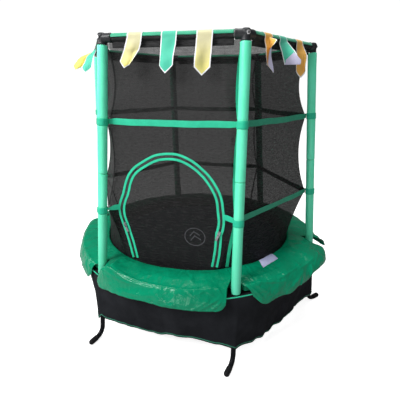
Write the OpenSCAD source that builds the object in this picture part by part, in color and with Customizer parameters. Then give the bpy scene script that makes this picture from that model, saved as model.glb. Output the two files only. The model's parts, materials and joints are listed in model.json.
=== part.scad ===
// Small round trampoline with a six-pole net enclosure.
// Units are millimetres. Origin on the floor, under the centre of the mat.
// +Z is up and the zipped doorway faces -Y.

/* [Frame] */
// Radius of the circle that the frame ring and the six poles stand on
ring_r = 700; // [698:1:702]
// Height of the frame ring's centre line above the floor
ring_z = 365; // [363:1:367]
// Outside diameter of the steel tube in ring, legs, poles and rails
tube_d = 25; // [24:0.5:25]
// Wall thickness of the steel tube
tube_wall = 1.5; // [1.2:0.1:2]
// Radius of the outward bend at the bottom of each leg
leg_bend_r = 45; // [40:1:50]
// Length of the straight foot after the bend
foot_len = 40; // [36:1:42]

/* [Poles] */
// Height at which the poles enter the top connectors
pole_top_z = 1468; // [1460:2:1476]
// Radius of the circle through the six top corners
top_r = 606; // [602:1:610]
// Turn of the top hexagon against the frame ring, in degrees
top_twist = 3.53; // [3.2:0.01:3.8]
// Outside diameter of the foam sleeves
foam_d = 45; // [43:0.5:45]
// Height of the joint between lower and upper pole
joint_z = 910; // [890:5:930]
// Height of the top rails' centre line
rail_z = 1492; // [1490:1:1494]

/* [Jumping mat] */
// Radius of the mat cloth
mat_r = 527; // [524:1:528]
// Height of the mat's upper face
mat_z = 381; // [380:0.5:382]
// Thickness of the mat cloth
mat_t = 3; // [2:0.5:3]
// Number of elastic cords
cord_n = 36; // [36:1:36]

/* [Pad] */
// Inner radius of the edge pad
pad_in_r = 566; // [565:1:568]
// Outer radius of the edge pad
pad_out_r = 716; // [714:1:716]
// Radius that the hanging flaps reach at the front and back
flap_r = 750; // [744:1:752]
// Height of the flaps' lower edge
flap_z = 338; // [330:1:342]

/* [Net] */
// Thickness of the net cloth
net_t = 1.6; // [1.2:0.1:1.8]
// Height of the lower strap
tie1_z = 727; // [722:1:732]
// Height of the upper strap
tie2_z = 1148; // [1140:2:1156]
// Width of the webbing straps
strap_w = 30; // [26:1:32]
// Depth to which the net corners draw inwards between the straps
net_bow = 36; // [30:1:38]

/* [Door] */
// Radius of the round part of the zip line
door_r = 258; // [254:1:260]
// Height of the centre of the round part
door_cz = 733; // [731:1:736]
// Height of the flap's bottom edge
door_z = 455; // [453:1:458]

/* [Pennants] */
// Width of a pennant
flag_w = 66; // [60:1:68]
// Length of a pennant from rail to point
flag_l = 150; // [140:1:160]

/* [Skirt] */
// Height of the skirt's lower edge
skirt_z = 78; // [76:1:82]

/* [Hidden] */
$fn = 64;

tr = tube_d / 2;
ti = tr - tube_wall;
foam_r = foam_d / 2;
mint = [0.33, 0.83, 0.60];
green = [0.02, 0.55, 0.36];
tape_c = [0.08, 0.72, 0.46];
steel = [0.72, 0.74, 0.75];
black = [0.05, 0.05, 0.055];
netc = [0.16, 0.16, 0.16];

// Pole axis: through (ring_r, 0, ring_z) and the top corner turned by top_twist
dxp = top_r * cos(top_twist) - ring_r;
dyp = top_r * sin(top_twist);
hp = pole_top_z - ring_z;
lean = atan(norm([dxp, dyp]) / hp);
lean_az = atan2(dyp, dxp);
function pxz(z) = ring_r + dxp * (z - ring_z) / hp;
function pyz(z) = dyp * (z - ring_z) / hp;
function rp(z) = norm([pxz(z), pyz(z)]);
function ph(z) = atan2(pyz(z), pxz(z));
function along(z) = (z - ring_z) / cos(lean);

module at_corners() for (k = [0:5]) rotate([0, 0, 60 * k]) children();
module on_poles() at_corners() translate([ring_r, 0, ring_z]) rotate([0, lean, lean_az]) children();
module tube(r1, r2, h) difference() { cylinder(r = r1, h = h); translate([0, 0, -1]) cylinder(r = r2, h = h + 2); }
module arc_tube(r, r1, r2, a0, a1) rotate([0, 0, a0]) rotate_extrude(angle = a1 - a0) translate([r, 0]) difference() { circle(r = r1); circle(r = r2); }

// Closed sheet between an inner and an outer grid of points, rows upwards,
// columns anticlockwise seen from above
function flat(l) = [for (a = l) for (b = a) b];
module sheet(A, B) {
  nr = len(A); nc = len(A[0]); n = nr * nc;
  function i(r, c) = r * nc + c;
  function o(r, c) = n + r * nc + c;
  tris = concat(
    [for (r = [0:nr-2]) for (c = [0:nc-2]) [o(r,c), o(r+1,c), o(r+1,c+1)]],
    [for (r = [0:nr-2]) for (c = [0:nc-2]) [o(r,c), o(r+1,c+1), o(r,c+1)]],
    [for (r = [0:nr-2]) for (c = [0:nc-2]) [i(r,c), i(r,c+1), i(r+1,c+1)]],
    [for (r = [0:nr-2]) for (c = [0:nc-2]) [i(r,c), i(r+1,c+1), i(r+1,c)]],
    [for (r = [0:nr-2]) [i(r,0), i(r+1,0), o(r+1,0)]],
    [for (r = [0:nr-2]) [i(r,0), o(r+1,0), o(r,0)]],
    [for (r = [0:nr-2]) [o(r,nc-1), o(r+1,nc-1), i(r+1,nc-1)]],
    [for (r = [0:nr-2]) [o(r,nc-1), i(r+1,nc-1), i(r,nc-1)]],
    [for (c = [0:nc-2]) [o(0,c), o(0,c+1), i(0,c+1)]],
    [for (c = [0:nc-2]) [o(0,c), i(0,c+1), i(0,c)]],
    [for (c = [0:nc-2]) [i(nr-1,c), i(nr-1,c+1), o(nr-1,c+1)]],
    [for (c = [0:nc-2]) [i(nr-1,c), o(nr-1,c+1), o(nr-1,c)]]);
  polyhedron(points = concat(flat(A), flat(B)), faces = tris, convexity = 6);
}

// Straight flat strip in plan from p to q, standing on height z0
module strip(p, q, z0, h, t) {
  d = q - p; a = atan2(d[1], d[0]);
  translate([p[0], p[1], z0]) rotate([0, 0, a]) translate([0, -t / 2, 0]) cube([norm(d), t, h]);
}

// ---------------------------------------------------------------- frame
module frame_rails() color(steel) difference() {
  for (k = [0:5]) translate([0, 0, ring_z]) arc_tube(ring_r, tr, ti, 60 * k + 1.4, 60 * k + 58.6);
  for (k = [0:5]) for (s = [-1, 1]) rotate([0, 0, 60 * k + s * 2.5]) translate([ring_r, 0, ring_z - 20]) cylinder(r = 3.1, h = 14, $fn = 24);
}
tee_o = tr + 3;
tee_i = tr + 0.15;
tee_s = tr + 3.5;
module corner_tee() difference() {
  union() {
    translate([0, 0, ring_z]) rotate([0, 0, -3.6]) rotate_extrude(angle = 7.2) translate([ring_r, 0]) circle(r = tee_o);
    translate([ring_r, 0, ring_z]) rotate([0, lean, lean_az]) translate([0, 0, -46]) cylinder(r = tee_s, h = 92);
  }
  translate([ring_r, 0, ring_z]) rotate([0, lean, lean_az]) translate([0, 0, -47]) cylinder(r = tee_i, h = 94);
  for (a = [1.37, -4.37]) translate([0, 0, ring_z]) rotate([0, 0, a]) rotate_extrude(angle = 3) translate([ring_r, 0]) circle(r = tee_i);
  for (s = [-1, 1]) rotate([0, 0, s * 2.5]) translate([ring_r, 0, ring_z - 20]) cylinder(r = 3.1, h = 10, $fn = 24);
}
module corner_tees() color(steel) for (k = [0:5]) rotate([0, 0, 60 * k]) corner_tee();
module tee_screws() color([0.6, 0.6, 0.62]) for (k = [0:5]) for (s = [-1, 1])
  rotate([0, 0, 60 * k + s * 2.5]) translate([ring_r, 0, ring_z - tee_o]) {
    translate([0, 0, -3.6]) cylinder(r = 5.5, h = 3.3, $fn = 32);
    translate([0, 0, -0.5]) cylinder(r = 2.9, h = 9, $fn = 24);
  }

// Legs carry on along the pole axes and bend outwards to a foot
foot_dir = [50, 62, 118, 131.2, 258, 259];
foot_z = tr + 1;
axd = [-sin(lean) * cos(lean_az), -sin(lean) * sin(lean_az), -cos(lean)];
function fdir(k) = [cos(foot_dir[k] - 60 * k), sin(foot_dir[k] - 60 * k), 0];
function unit(v) = v / norm(v);
function wdir(k) = unit(fdir(k) - (fdir(k) * axd) * axd);
function beta(k) = acos(fdir(k) * axd);
function p1z(k) = foot_z - leg_bend_r * (wdir(k)[2] * (1 - cos(beta(k))) + axd[2] * sin(beta(k)));
function p1(k) = [ring_r, 0, ring_z] + axd * ((ring_z - p1z(k)) / cos(lean));
function p2(k) = p1(k) + leg_bend_r * (wdir(k) * (1 - cos(beta(k))) + axd * sin(beta(k)));
function eul(x, y, z) = [atan2(y[2], z[2]), -asin(x[2]), atan2(x[1], x[0])];
// One leg: straight tube, bend and foot, with a low swaged band at each end of the bend
module leg_rod(k, r, rb, e) {
  L = (ring_z - p1z(k)) / cos(lean);
  translate([ring_r, 0, ring_z]) rotate([0, lean, lean_az]) translate([0, 0, -L]) {
    cylinder(r = r, h = L - 2 + e);
    translate([0, 0, -1.5]) cylinder(r = rb, h = 3.5);
  }
  translate(p1(k) + leg_bend_r * wdir(k)) rotate(eul(-wdir(k), axd, cross(-wdir(k), axd)))
    rotate_extrude(angle = beta(k)) translate([leg_bend_r, 0]) circle(r = r);
  translate(p2(k)) rotate([0, 90, foot_dir[k] - 60 * k]) {
    cylinder(r = r, h = foot_len + e);
    translate([0, 0, -1.5]) cylinder(r = rb, h = 3.5);
  }
}
module leg_tubes() color(black) for (k = [0:5]) rotate([0, 0, 60 * k]) difference() {
  leg_rod(k, tr, tr + 0.25, 0);
  leg_rod(k, ti, ti + 0.2, 1);
}
module foot_caps() color(black) for (k = [0:5]) rotate([0, 0, 60 * k]) difference() {
  translate(p2(k)) rotate([0, 90, foot_dir[k] - 60 * k]) {
    translate([0, 0, 4]) cylinder(r = tr + 2, h = foot_len - 4);
    translate([0, 0, foot_len]) sphere(r = tr + 2);
  }
  translate(p2(k)) rotate([0, 90, foot_dir[k] - 60 * k]) cylinder(r = tr + 0.1, h = foot_len + 0.1);
  translate([ring_r - 200, -200, -20]) cube([500, 400, 20]);
}

// ---------------------------------------------------------------- poles
module lower_poles() color(steel) on_poles() translate([0, 0, 2]) tube(tr, ti, along(joint_z) - 2.2);
module upper_poles() color(steel) on_poles() translate([0, 0, along(joint_z)]) tube(tr, ti, along(rail_z - 16) - along(joint_z));
module pole_couplers() color([0.5, 0.5, 0.52]) on_poles() translate([0, 0, along(joint_z) - 60]) tube(ti - 0.1, ti - 1.6, 120);
module lower_sleeves() color(mint) on_poles() difference() {
  translate([0, 0, along(ring_z + 20.5)]) cylinder(r = foam_r, h = along(joint_z - 1) - along(ring_z + 20.5));
  translate([0, 0, 0]) cylinder(r = tr + 0.2, h = along(joint_z) + 2);
  translate([0, 0, 0]) cylinder(r = tee_s + 0.3, h = 47);
}
module upper_sleeves() color(mint) on_poles() difference() {
  translate([0, 0, along(joint_z + 1)]) cylinder(r = foam_r, h = along(pole_top_z - 4) - along(joint_z + 1));
  translate([0, 0, along(joint_z) - 2]) cylinder(r = tr + 0.2, h = along(pole_top_z) - along(joint_z) + 4);
}

// ---------------------------------------------------------------- top rails
module at_tops() for (k = [0:5]) rotate([0, 0, 60 * k + top_twist]) translate([top_r, 0, 0]) children();
rail_ap = top_r * cos(30);
module on_rails() for (k = [0:5]) on_rail(k) children();
module on_rail(k) rotate([0, 0, 60 * k + 30 + top_twist]) translate([rail_ap, 0, rail_z]) children();
elbow_arm = 44;
module top_elbow() difference() {
  union() {
    translate([0, 0, pole_top_z - 1]) cylinder(r = 19, h = rail_z - pole_top_z + 13);
    translate([0, 0, rail_z + 10]) cylinder(r = 17.2, h = 8.4);
    translate([0, 0, rail_z + 17]) cylinder(r = 12.5, h = 4);
    for (a = [120, 240]) rotate([0, 0, a]) translate([0, 0, rail_z]) rotate([0, 90, 0]) cylinder(r = tr + 4, h = elbow_arm);
    translate([10, 0, rail_z + 3]) rotate([0, 90, 0]) cylinder(r = 8, h = 10.5, $fn = 48);
  }
  for (a = [120, 240]) rotate([0, 0, a]) translate([20.5, 0, rail_z]) rotate([0, 90, 0]) cylinder(r = tr + 0.15, h = elbow_arm);
  translate([8, 0, rail_z + 3]) rotate([0, 90, 0]) cylinder(r = 2.4, h = 20, $fn = 24);
}
module top_elbows() color(black) difference() {
  at_tops() top_elbow();
  on_poles() translate([0, 0, along(pole_top_z) - 20]) rotate([0, 0, 90]) cylinder(r = tr + 0.15, h = along(rail_z - 15.5) - along(pole_top_z) + 20);
}
module elbow_screws() color([0.8, 0.8, 0.82]) at_tops() translate([0, 0, rail_z + 3]) rotate([0, 90, 0]) {
  translate([0, 0, 9]) cylinder(r = 2.2, h = 13, $fn = 24);
  translate([0, 0, 21.9]) cylinder(r = 5, h = 2.4, $fn = 32);
}
module elbow_washers() color([0.85, 0.85, 0.86]) at_tops() translate([20.7, 0, rail_z + 3]) rotate([0, 90, 0]) difference() {
  cylinder(r = 7.5, h = 1, $fn = 48);
  translate([0, 0, -1]) cylinder(r = 2.5, h = 3, $fn = 24);
}
module top_rails() color(steel) on_rails() translate([0, -top_r / 2 + 21, 0]) rotate([-90, 0, 0]) tube(tr, ti, top_r - 42);
hem_l = top_r - 2 * (elbow_arm + 2);
hem_drop = 40;
module rail_hems() color(netc) on_rails() translate([0, -hem_l / 2, 0]) difference() {
  union() {
    rotate([-90, 0, 0]) cylinder(r = tr + 2.1, h = hem_l);
    translate([-1, 0, -hem_drop]) cube([2, hem_l, hem_drop - 13]);
  }
  translate([0, -1, 0]) rotate([-90, 0, 0]) cylinder(r = tr + 0.3, h = hem_l + 2);
}
module rail_piping() color(tape_c) on_rails() translate([0, hem_l / 2, 0]) rotate([90, 0, 0]) rotate([0, 0, 20])
  rotate_extrude(angle = 140) translate([tr + 2.4, 0]) square([1.7, hem_l]);

// ---------------------------------------------------------------- net
function lin(x, a, b, fa, fb) = fa + (fb - fa) * (x - a) / (b - a);
function hump(x, a, b) = (x <= a || x >= b) ? 0 : 4 * (x - a) * (b - x) / ((b - a) * (b - a));
net_z0 = 386;
net_z1 = rail_z - hem_drop - 1;
rt1 = rp(tie1_z) - foam_r - 8;
rt2 = rp(tie2_z) - foam_r - 8;
rt3 = rp(net_z1) - foam_r - 8;
// radius of the net's corner line at height z
function rc(z) = z <= 442 ? lin(z, net_z0, 442, 556, 558)
  : z <= tie1_z ? lin(z, 442, tie1_z, 558, rt1) - 8 * hump(z, 442, tie1_z)
  : z <= tie2_z ? lin(z, tie1_z, tie2_z, rt1, rt2) - net_bow * hump(z, tie1_z, tie2_z)
  : lin(z, tie2_z, net_z1, rt2, rt3) - net_bow * hump(z, tie2_z, net_z1);
function nc(k, z) = [rc(z) * cos(60 * k + ph(z)), rc(z) * sin(60 * k + ph(z))];
us = [0.004, 0.12, 0.3, 0.5, 0.7, 0.88, 0.996];
zs = [net_z0, 414, 442, 455, 500, 560, 640, tie1_z, 800, 870, 937, 1010, 1080, tie2_z, 1200, 1260, 1320, 1380, net_z1];
function nrm(k, z) = [cos(60 * k + 30 + ph(z)), sin(60 * k + 30 + ph(z))];
function arcs(u) = sqrt(557 * 557 - pow((u - 0.5) * 557, 2)) - 557 * cos(30);
function wb(z) = z <= 442 ? 1 : z < tie1_z ? lin(z, 442, tie1_z, 1, 0) : 0;
function wt(z) = z <= tie2_z ? 0 : lin(z, tie2_z, net_z1, 0, 1);
function edge(u) = min(1, u / 0.12, (1 - u) / 0.12) * (rail_ap - rt3 * cos(30));
function gen(k, u, z) = nc(k, z) * (1 - u) + nc(k + 1, z) * u
  + nrm(k, z) * (wb(z) * arcs(u) + wt(z) * edge(u));
// the doorway's plane: front face, turned by door_turn, door_y from the axis
door_turn = 1.8;
door_y = 521;
door_cx = -10;
door_bl = 199;
door_br = 220;
function dturn(p) = [p[0] * cos(door_turn) - p[1] * sin(door_turn), p[0] * sin(door_turn) + p[1] * cos(door_turn)];
function xs(z) = z <= 442 ? 200 : z <= 455 ? lin(z, 442, 455, 200, 240) : z <= tie1_z ? lin(z, 455, tie1_z, 240, 292) : lin(z, tie1_z, tie2_z, 292, 272);
fus = [0, -1, -0.5, 0, 0.5, 1, 0];
function front(i, z) = (i == 0 || i == 6) ? gen(4, us[i], z)
  : z <= tie2_z ? dturn([fus[i] * xs(z), -door_y])
  : dturn([fus[i] * xs(tie2_z), -door_y]) * (1 - wt(z)) + gen(4, us[i], z) * wt(z);
function off(k, p, z, t) = [p[0] + nrm(k, z)[0] * t, p[1] + nrm(k, z)[1] * t, z];
module net_panel(k) color(netc) sheet(
  [for (z = zs) [for (u = us) off(k, gen(k, u, z), z, 0)]],
  [for (z = zs) [for (u = us) off(k, gen(k, u, z), z, net_t)]]);
// Outline of the doorway at a distance off from the zip line
arch_a = 22;
function arch_end(o) = [(door_r + o) * cos(arch_a), -(door_r + o) * sin(arch_a)];
module arch2d(o, zb) translate([door_cx, door_cz]) {
  circle(r = door_r + o, $fn = 96);
  polygon([[-door_bl - o, zb - door_cz], [door_br + o, zb - door_cz], arch_end(o), [0, 20], [-arch_end(o)[0], arch_end(o)[1]]]);
}
module arch_slab(o, y0, t, zb) rotate([0, 0, door_turn]) translate([0, -y0, 0]) rotate([90, 0, 0]) linear_extrude(t) arch2d(o, zb);
module arch_band(o1, o2, y0, t, zb) rotate([0, 0, door_turn]) translate([0, -y0, 0]) rotate([90, 0, 0]) linear_extrude(t)
  difference() { arch2d(o2, zb); arch2d(o1, zb - 3); translate([-600, zb - 400]) square([1200, 400]); }
module net_front() color(netc) difference() {
  sheet([for (z = zs) [for (i = [0:6]) off(4, front(i, z), z, 0)]],
        [for (z = zs) [for (i = [0:6]) off(4, front(i, z), z, net_t)]]);
  arch_slab(0.4, door_y - 10, 30, door_z - 0.6);
}
module net_front_right() net_panel(5);
module net_back_right() net_panel(0);
module net_back() net_panel(1);
module net_back_left() net_panel(2);
module net_front_left() net_panel(3);

tape_rows = [[446, 500, 560, 640, tie1_z - strap_w / 2 - 2],
             [tie1_z + strap_w / 2 + 2, 800, 870, 937, 1010, 1080, tie2_z - strap_w / 2 - 2],
             [tie2_z + strap_w / 2 + 2, 1200, 1260, 1320, 1380, net_z1]];
function tapep(k, z, d, s) = let (a = 60 * k + ph(z), r = rc(z) + d)
  [r * cos(a) - s * sin(a), r * sin(a) + s * cos(a), z];
function tape_mid(k, j) = j == 2 ? 0 : k == 4 ? -9.5 : k == 5 ? 9.5 : 0;
module seam_tapes() color(tape_c) for (k = [0:5]) for (j = [0:2]) let (rows = tape_rows[j], m = tape_mid(k, j))
  sheet([for (z = rows) [for (s = [m - 8, m + 8]) tapep(k, z, 2.4, s)]],
        [for (z = rows) [for (s = [m - 8, m + 8]) tapep(k, z, 3.6, s)]]);

// ---------------------------------------------------------------- straps
loop_i = foam_r + 0.3;
loop_o = foam_r + 2.3;
module strap_face(k, z, rt) {
  y1 = rt * cos(30) + 6.2;
  half = rp(z) / 2 - sqrt(pow(loop_o + 1.4, 2) - pow(rp(z) * cos(30) - y1, 2));
  rotate([0, 0, 60 * k + 30 + ph(z)]) translate([y1 - 1.2, -half, z - strap_w / 2]) cube([1.2, 2 * half, strap_w]);
}
module loops(z) on_poles() translate([0, 0, along(z) - strap_w / 2]) tube(loop_o, loop_i, strap_w);
module upper_straps() color(green) for (k = [0:5]) strap_face(k, tie2_z, rt2);
module lower_straps() color(green) {
  for (k = [0, 1, 2, 3, 5]) strap_face(k, tie1_z, rt1);
  for (s = [-1, 1]) {
    q = dturn([door_cx + s * (door_r + 12), -door_y - 5]);
    a = (s < 0 ? 240 : 300) + ph(tie1_z);
    c = [rp(tie1_z) * cos(a), rp(tie1_z) * sin(a)];
    strip(c + unit(q - c) * (loop_o + 1.4), q, tie1_z - strap_w / 2, strap_w, 1.2);
  }
}
module upper_strap_loops() color(green) loops(tie2_z);
module lower_strap_loops() color(green) loops(tie1_z);
// Cords that tie the net's lower edge to the frame ring
function tie_r(k) = k == 13 ? door_y + 5 : 559.2;
module net_ties() color(black) for (k = [0:17]) rotate([0, 0, 20 * k + 10])
  translate([tie_r(k), 0, 386]) rotate([0, 90 + atan(15 / (687 - tie_r(k))), 0]) cylinder(r = 1.5, h = 686 - tie_r(k), $fn = 16);

// ---------------------------------------------------------------- doorway
y_tape = door_y + net_t + 0.3;
module door_tape_frame() color(tape_c) arch_band(7, 17, y_tape, 1.5, door_z);
module zip_teeth_frame() color(black) arch_band(0.5, 6.5, y_tape, 2, door_z);
module zip_teeth_flap() color(black) arch_band(-6.5, -0.5, y_tape, 2, door_z);
module door_tape_flap() color(tape_c) arch_band(-17, -7, y_tape, 1.5, door_z);
module door_flap() color(netc) arch_slab(-0.4, door_y, net_t, door_z);
// Sliders on the round part of the zip; the side is -1 for left, 1 for right
slider_deg = arch_a - 1;
module slider_frame(sd) rotate([0, 0, door_turn]) translate([door_cx, -y_tape - 2.4, door_cz])
  mirror([sd < 0 ? 1 : 0, 0, 0]) rotate([0, slider_deg, 0]) translate([door_r, 0, 0]) children();
module zip_slider(sd) color([0.78, 0.78, 0.8]) slider_frame(sd) difference() {
  union() {
    translate([-7, -4, -10]) cube([14, 4, 20]);
    translate([-2, -7.4, 0]) cube([4, 3.6, 8]);
  }
  translate([-5, -5.8, 4]) rotate([0, 90, 0]) cylinder(r = 1.2, h = 10, $fn = 24);
}
module zip_puller(sd) color([0.8, 0.8, 0.82]) slider_frame(sd) translate([0, -5.8, 4]) {
  translate([-5.5, 0, 0]) rotate([0, 90, 0]) cylinder(r = 1.1, h = 11, $fn = 24);
  for (s = [-1, 1]) translate([s * 4.5 - 1, -2.6, -16]) cube([2, 2.2, 17]);
  translate([-5.5, -2.6, -44]) cube([11, 2.2, 28]);
}
module zip_slider_left() zip_slider(-1);
module zip_slider_right() zip_slider(1);
module zip_puller_left() zip_puller(-1);
module zip_puller_right() zip_puller(1);

// ---------------------------------------------------------------- mat
module mat() color([0.07, 0.07, 0.08]) translate([0, 0, mat_z - mat_t]) cylinder(r = mat_r, h = mat_t, $fn = 128);
module mat_hem() color([0.1, 0.1, 0.11]) translate([0, 0, mat_z + 0.05]) difference() {
  cylinder(r = mat_r - 0.5, h = 1.6, $fn = 128);
  translate([0, 0, -1]) cylinder(r = mat_r - 38, h = 4, $fn = 128);
}
module mat_rings() color(steel) for (k = [0:cord_n-1]) rotate([0, 0, 10 * k + 5]) translate([mat_r + 10, 0, mat_z - 3.5])
  rotate_extrude($fn = 32) translate([8, 0]) circle(r = 1.5, $fn = 16);
// Plain oval emblem printed on the mat: a ring and two chevrons, longer from front to back
emb_x = -11; emb_y = -47.5;
emb_turn = 21.8;
module emblem_layer() difference() { circle(r = 70, $fn = 96); circle(r = 63, $fn = 96); }
module mat_emblem() color([0.62, 0.62, 0.68]) translate([emb_x, emb_y, mat_z + 0.05]) linear_extrude(0.6) rotate(emb_turn) scale([0.96, 1.96]) {
  emblem_layer();
  for (s = [-22, 12]) polygon([[-34, s - 12], [0, s + 20], [34, s - 12], [34, s], [0, s + 32], [-34, s]]);
}
module elastic_cords() color(black) for (k = [0:cord_n-1]) rotate([0, 0, 10 * k + 5])
  translate([mat_r + 20, 0, mat_z - 3.5]) rotate([0, 90 + atan((mat_z - 3.5 - ring_z) / (ring_r - tr - mat_r - 20)), 0])
    cylinder(r = 3, h = norm([ring_r - tr - mat_r - 20.6, mat_z - 3.5 - ring_z]), $fn = 16);

// ---------------------------------------------------------------- pad
pad_rise = 25;
module pad_ring() color(green) difference() {
  rotate_extrude($fn = 128) polygon([[pad_in_r, 392], [pad_in_r, 432], [pad_in_r + 3, 437], [pad_in_r + 9, 413 + pad_rise],
    [pad_out_r - 4, 413], [pad_out_r, 409], [pad_out_r, 388]]);
  at_corners() translate([ring_r - 3, 0, 370]) { cylinder(r = 27, h = 90); translate([0, -27, 0]) cube([60, 54, 90]); }
}
pad_slope = atan(pad_rise / (pad_out_r - pad_in_r - 13));
module pad_patch() color([0.72, 0.70, 0.88]) rotate([0, 0, -33]) translate([pad_in_r + 12, 0, 413 + pad_rise])
  rotate([0, pad_slope, 0]) translate([0, -50, 0.1]) cube([52, 100, 0.8]);
module pad_ties() color(black) for (k = [0:11]) rotate([0, 0, 30 * k + 15]) translate([ring_r - 1, -6, ring_z + tr + 0.2]) cube([2, 12, 9.2]);
// Hanging flaps between the poles, flared round the poles at +X and -X
function flare(t) = let (a = (t % 360 + 360) % 360, d = min(a, 360 - a), e = abs(a - 180))
  68 * exp(-pow(d / 21, 2)) + 68 * exp(-pow(e / 14, 2));
function fr(t) = flap_r - 3 + flare(t);
function fz(t) = flap_z + 0.4 * flare(t);
function fend(u) = 1 - 0.8 * pow(abs(2 * u - 1), 7);
function flapp(k, u, s, d) = let (t = 60 * k + 5.4 + 49.2 * u, e = fend(u),
    r = s < 0.15 ? lin(s, 0, 0.15, pad_out_r + 4.4, pad_out_r + 9) : lin(s, 0.15, 1, pad_out_r + 9, fr(t)),
    z = s < 0.15 ? lin(s, 0, 0.15, 405, 395) : lin(s, 0.15, 1, 395, fz(t)))
  [(r + d) * cos(t), (r + d) * sin(t), z + d * 0.6];
fcols = [0, 0.03, 0.08, 0.16, 0.3, 0.5, 0.7, 0.84, 0.92, 0.97, 1];
frows = [1, 0.75, 0.45, 0.15, 0];
module pad_flaps() color(green) for (k = [0:5])
  sheet([for (s = frows) [for (u = fcols) flapp(k, u, s * fend(u), 0)]],
        [for (s = frows) [for (u = fcols) flapp(k, u, s * fend(u), 2)]]);

// ---------------------------------------------------------------- skirt
skirt_top_r = 721;
skirt_top_z = 380;
skirt_low_r = 744;
function skp(k, u, z, d) = let (w = lin(z, skirt_z, skirt_top_z, 0, 1),
    a0 = 60 * k + ph(z) + 0.15, a1 = 60 * k + 60 + ph(z) - 0.15, a = a0 + (a1 - a0) * u,
    low = [skirt_low_r * cos(a0), skirt_low_r * sin(a0)] * (1 - u) + [skirt_low_r * cos(a1), skirt_low_r * sin(a1)] * u,
    top = [skirt_top_r * cos(a), skirt_top_r * sin(a)], m = low * (1 - w) + top * w,
    n = [cos(60 * k + 30 + ph(z)), sin(60 * k + 30 + ph(z))])
  [m[0] + n[0] * d, m[1] + n[1] * d, z];
sk_u = [0, 0.1, 0.25, 0.4, 0.5, 0.6, 0.75, 0.9, 1];
sk_z = [skirt_z, 150, 230, 310, skirt_top_z];
module skirt_panels() color(black) for (k = [0:5])
  sheet([for (z = sk_z) [for (u = sk_u) skp(k, u, z, 0)]], [for (z = sk_z) [for (u = sk_u) skp(k, u, z, 1.6)]]);
module skirt_band() color(tape_c) translate([0, 0, skirt_top_z - 2]) difference() {
  cylinder(r = skirt_top_r + 4.4, h = 6, $fn = 128);
  translate([0, 0, -1]) cylinder(r = skirt_top_r + 2.1, h = 8, $fn = 128);
}
module skirt_piping() color(green) for (k = [0:5]) rotate([0, 0, 60 * k + 30 + ph(skirt_z)])
  translate([skirt_low_r * cos(30) + 8.2, -skirt_low_r / 2 + 1, skirt_z + 10]) rotate([-90, 0, 0]) cylinder(r = 2, h = skirt_low_r - 2, $fn = 24);

// ---------------------------------------------------------------- pennants
flag_rail = [4, 4, 4, 5, 5, 5, 3, 3];
flag_s = [-150, -3, 143, -162, -40, 118, -205, -120];
flag_c = [[0.95, 0.88, 0.5], [0.1, 0.75, 0.5], [0.95, 0.88, 0.5], [0.95, 0.6, 0.12], [0.1, 0.7, 0.5], [0.92, 0.58, 0.15], [0.93, 0.83, 0.2], [0.2, 0.65, 0.6]];
module flag(i) color(flag_c[i - 1]) on_rail(flag_rail[i - 1]) translate([0, flag_s[i - 1], 0]) {
  translate([tr + 4.7, 0, 0]) rotate([90, 0, 90]) linear_extrude(1.2)
    polygon([[-flag_w / 2, 0], [flag_w / 2, 0], [flag_w / 2, -flag_l + 32], [0, -flag_l], [-flag_w / 2, -flag_l + 32]]);
  translate([0, flag_w / 2, 0]) rotate([90, 0, 0]) rotate_extrude(angle = 150) translate([tr + 4.7, 0]) square([1.2, flag_w]);
}

frame_rails();
corner_tees();
tee_screws();
leg_tubes();
foot_caps();
lower_poles();
upper_poles();
pole_couplers();
lower_sleeves();
upper_sleeves();
top_elbows();
elbow_screws();
elbow_washers();
top_rails();
rail_hems();
rail_piping();
net_front();
net_front_right();
net_back_right();
net_back();
net_back_left();
net_front_left();
seam_tapes();
upper_straps();
lower_straps();
upper_strap_loops();
lower_strap_loops();
net_ties();
door_tape_frame();
zip_teeth_frame();
elastic_cords();
pad_ring();
pad_flaps();
pad_patch();
pad_ties();
skirt_panels();
skirt_band();
skirt_piping();
mat();
mat_hem();
mat_rings();
mat_emblem();
door_flap();
door_tape_flap();
zip_teeth_flap();
zip_slider_left();
zip_slider_right();
zip_puller_left();
zip_puller_right();
flag(1);  // flag_1
flag(2);  // flag_2
flag(3);  // flag_3
flag(4);  // flag_4
flag(5);  // flag_5
flag(6);  // flag_6
flag(7);  // flag_7
flag(8);  // flag_8
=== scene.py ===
import bpy, bmesh, json, math
import numpy as np
from math import pi, sin, cos, radians, sqrt, atan2, hypot
from mathutils import Vector, Matrix

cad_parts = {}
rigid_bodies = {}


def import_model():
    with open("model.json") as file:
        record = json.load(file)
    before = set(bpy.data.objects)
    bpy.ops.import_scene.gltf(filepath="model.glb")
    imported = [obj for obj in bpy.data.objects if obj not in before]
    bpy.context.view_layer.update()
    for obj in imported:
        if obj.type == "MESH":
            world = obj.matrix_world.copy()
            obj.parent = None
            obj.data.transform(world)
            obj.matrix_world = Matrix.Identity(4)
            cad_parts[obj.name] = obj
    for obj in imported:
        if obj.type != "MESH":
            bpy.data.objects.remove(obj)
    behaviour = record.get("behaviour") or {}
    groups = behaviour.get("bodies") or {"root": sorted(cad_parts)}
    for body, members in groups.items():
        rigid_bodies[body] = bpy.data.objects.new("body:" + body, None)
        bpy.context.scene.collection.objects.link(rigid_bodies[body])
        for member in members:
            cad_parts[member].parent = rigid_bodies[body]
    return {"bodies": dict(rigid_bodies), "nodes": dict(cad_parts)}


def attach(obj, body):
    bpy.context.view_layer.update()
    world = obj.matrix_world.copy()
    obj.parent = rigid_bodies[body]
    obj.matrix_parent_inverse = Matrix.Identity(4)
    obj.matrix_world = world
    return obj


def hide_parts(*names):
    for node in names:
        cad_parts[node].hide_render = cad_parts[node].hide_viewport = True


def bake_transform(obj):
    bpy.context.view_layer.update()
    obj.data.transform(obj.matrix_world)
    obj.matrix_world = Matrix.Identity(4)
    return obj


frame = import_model()
BODIES, NODES = frame["bodies"], frame["nodes"]


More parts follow.
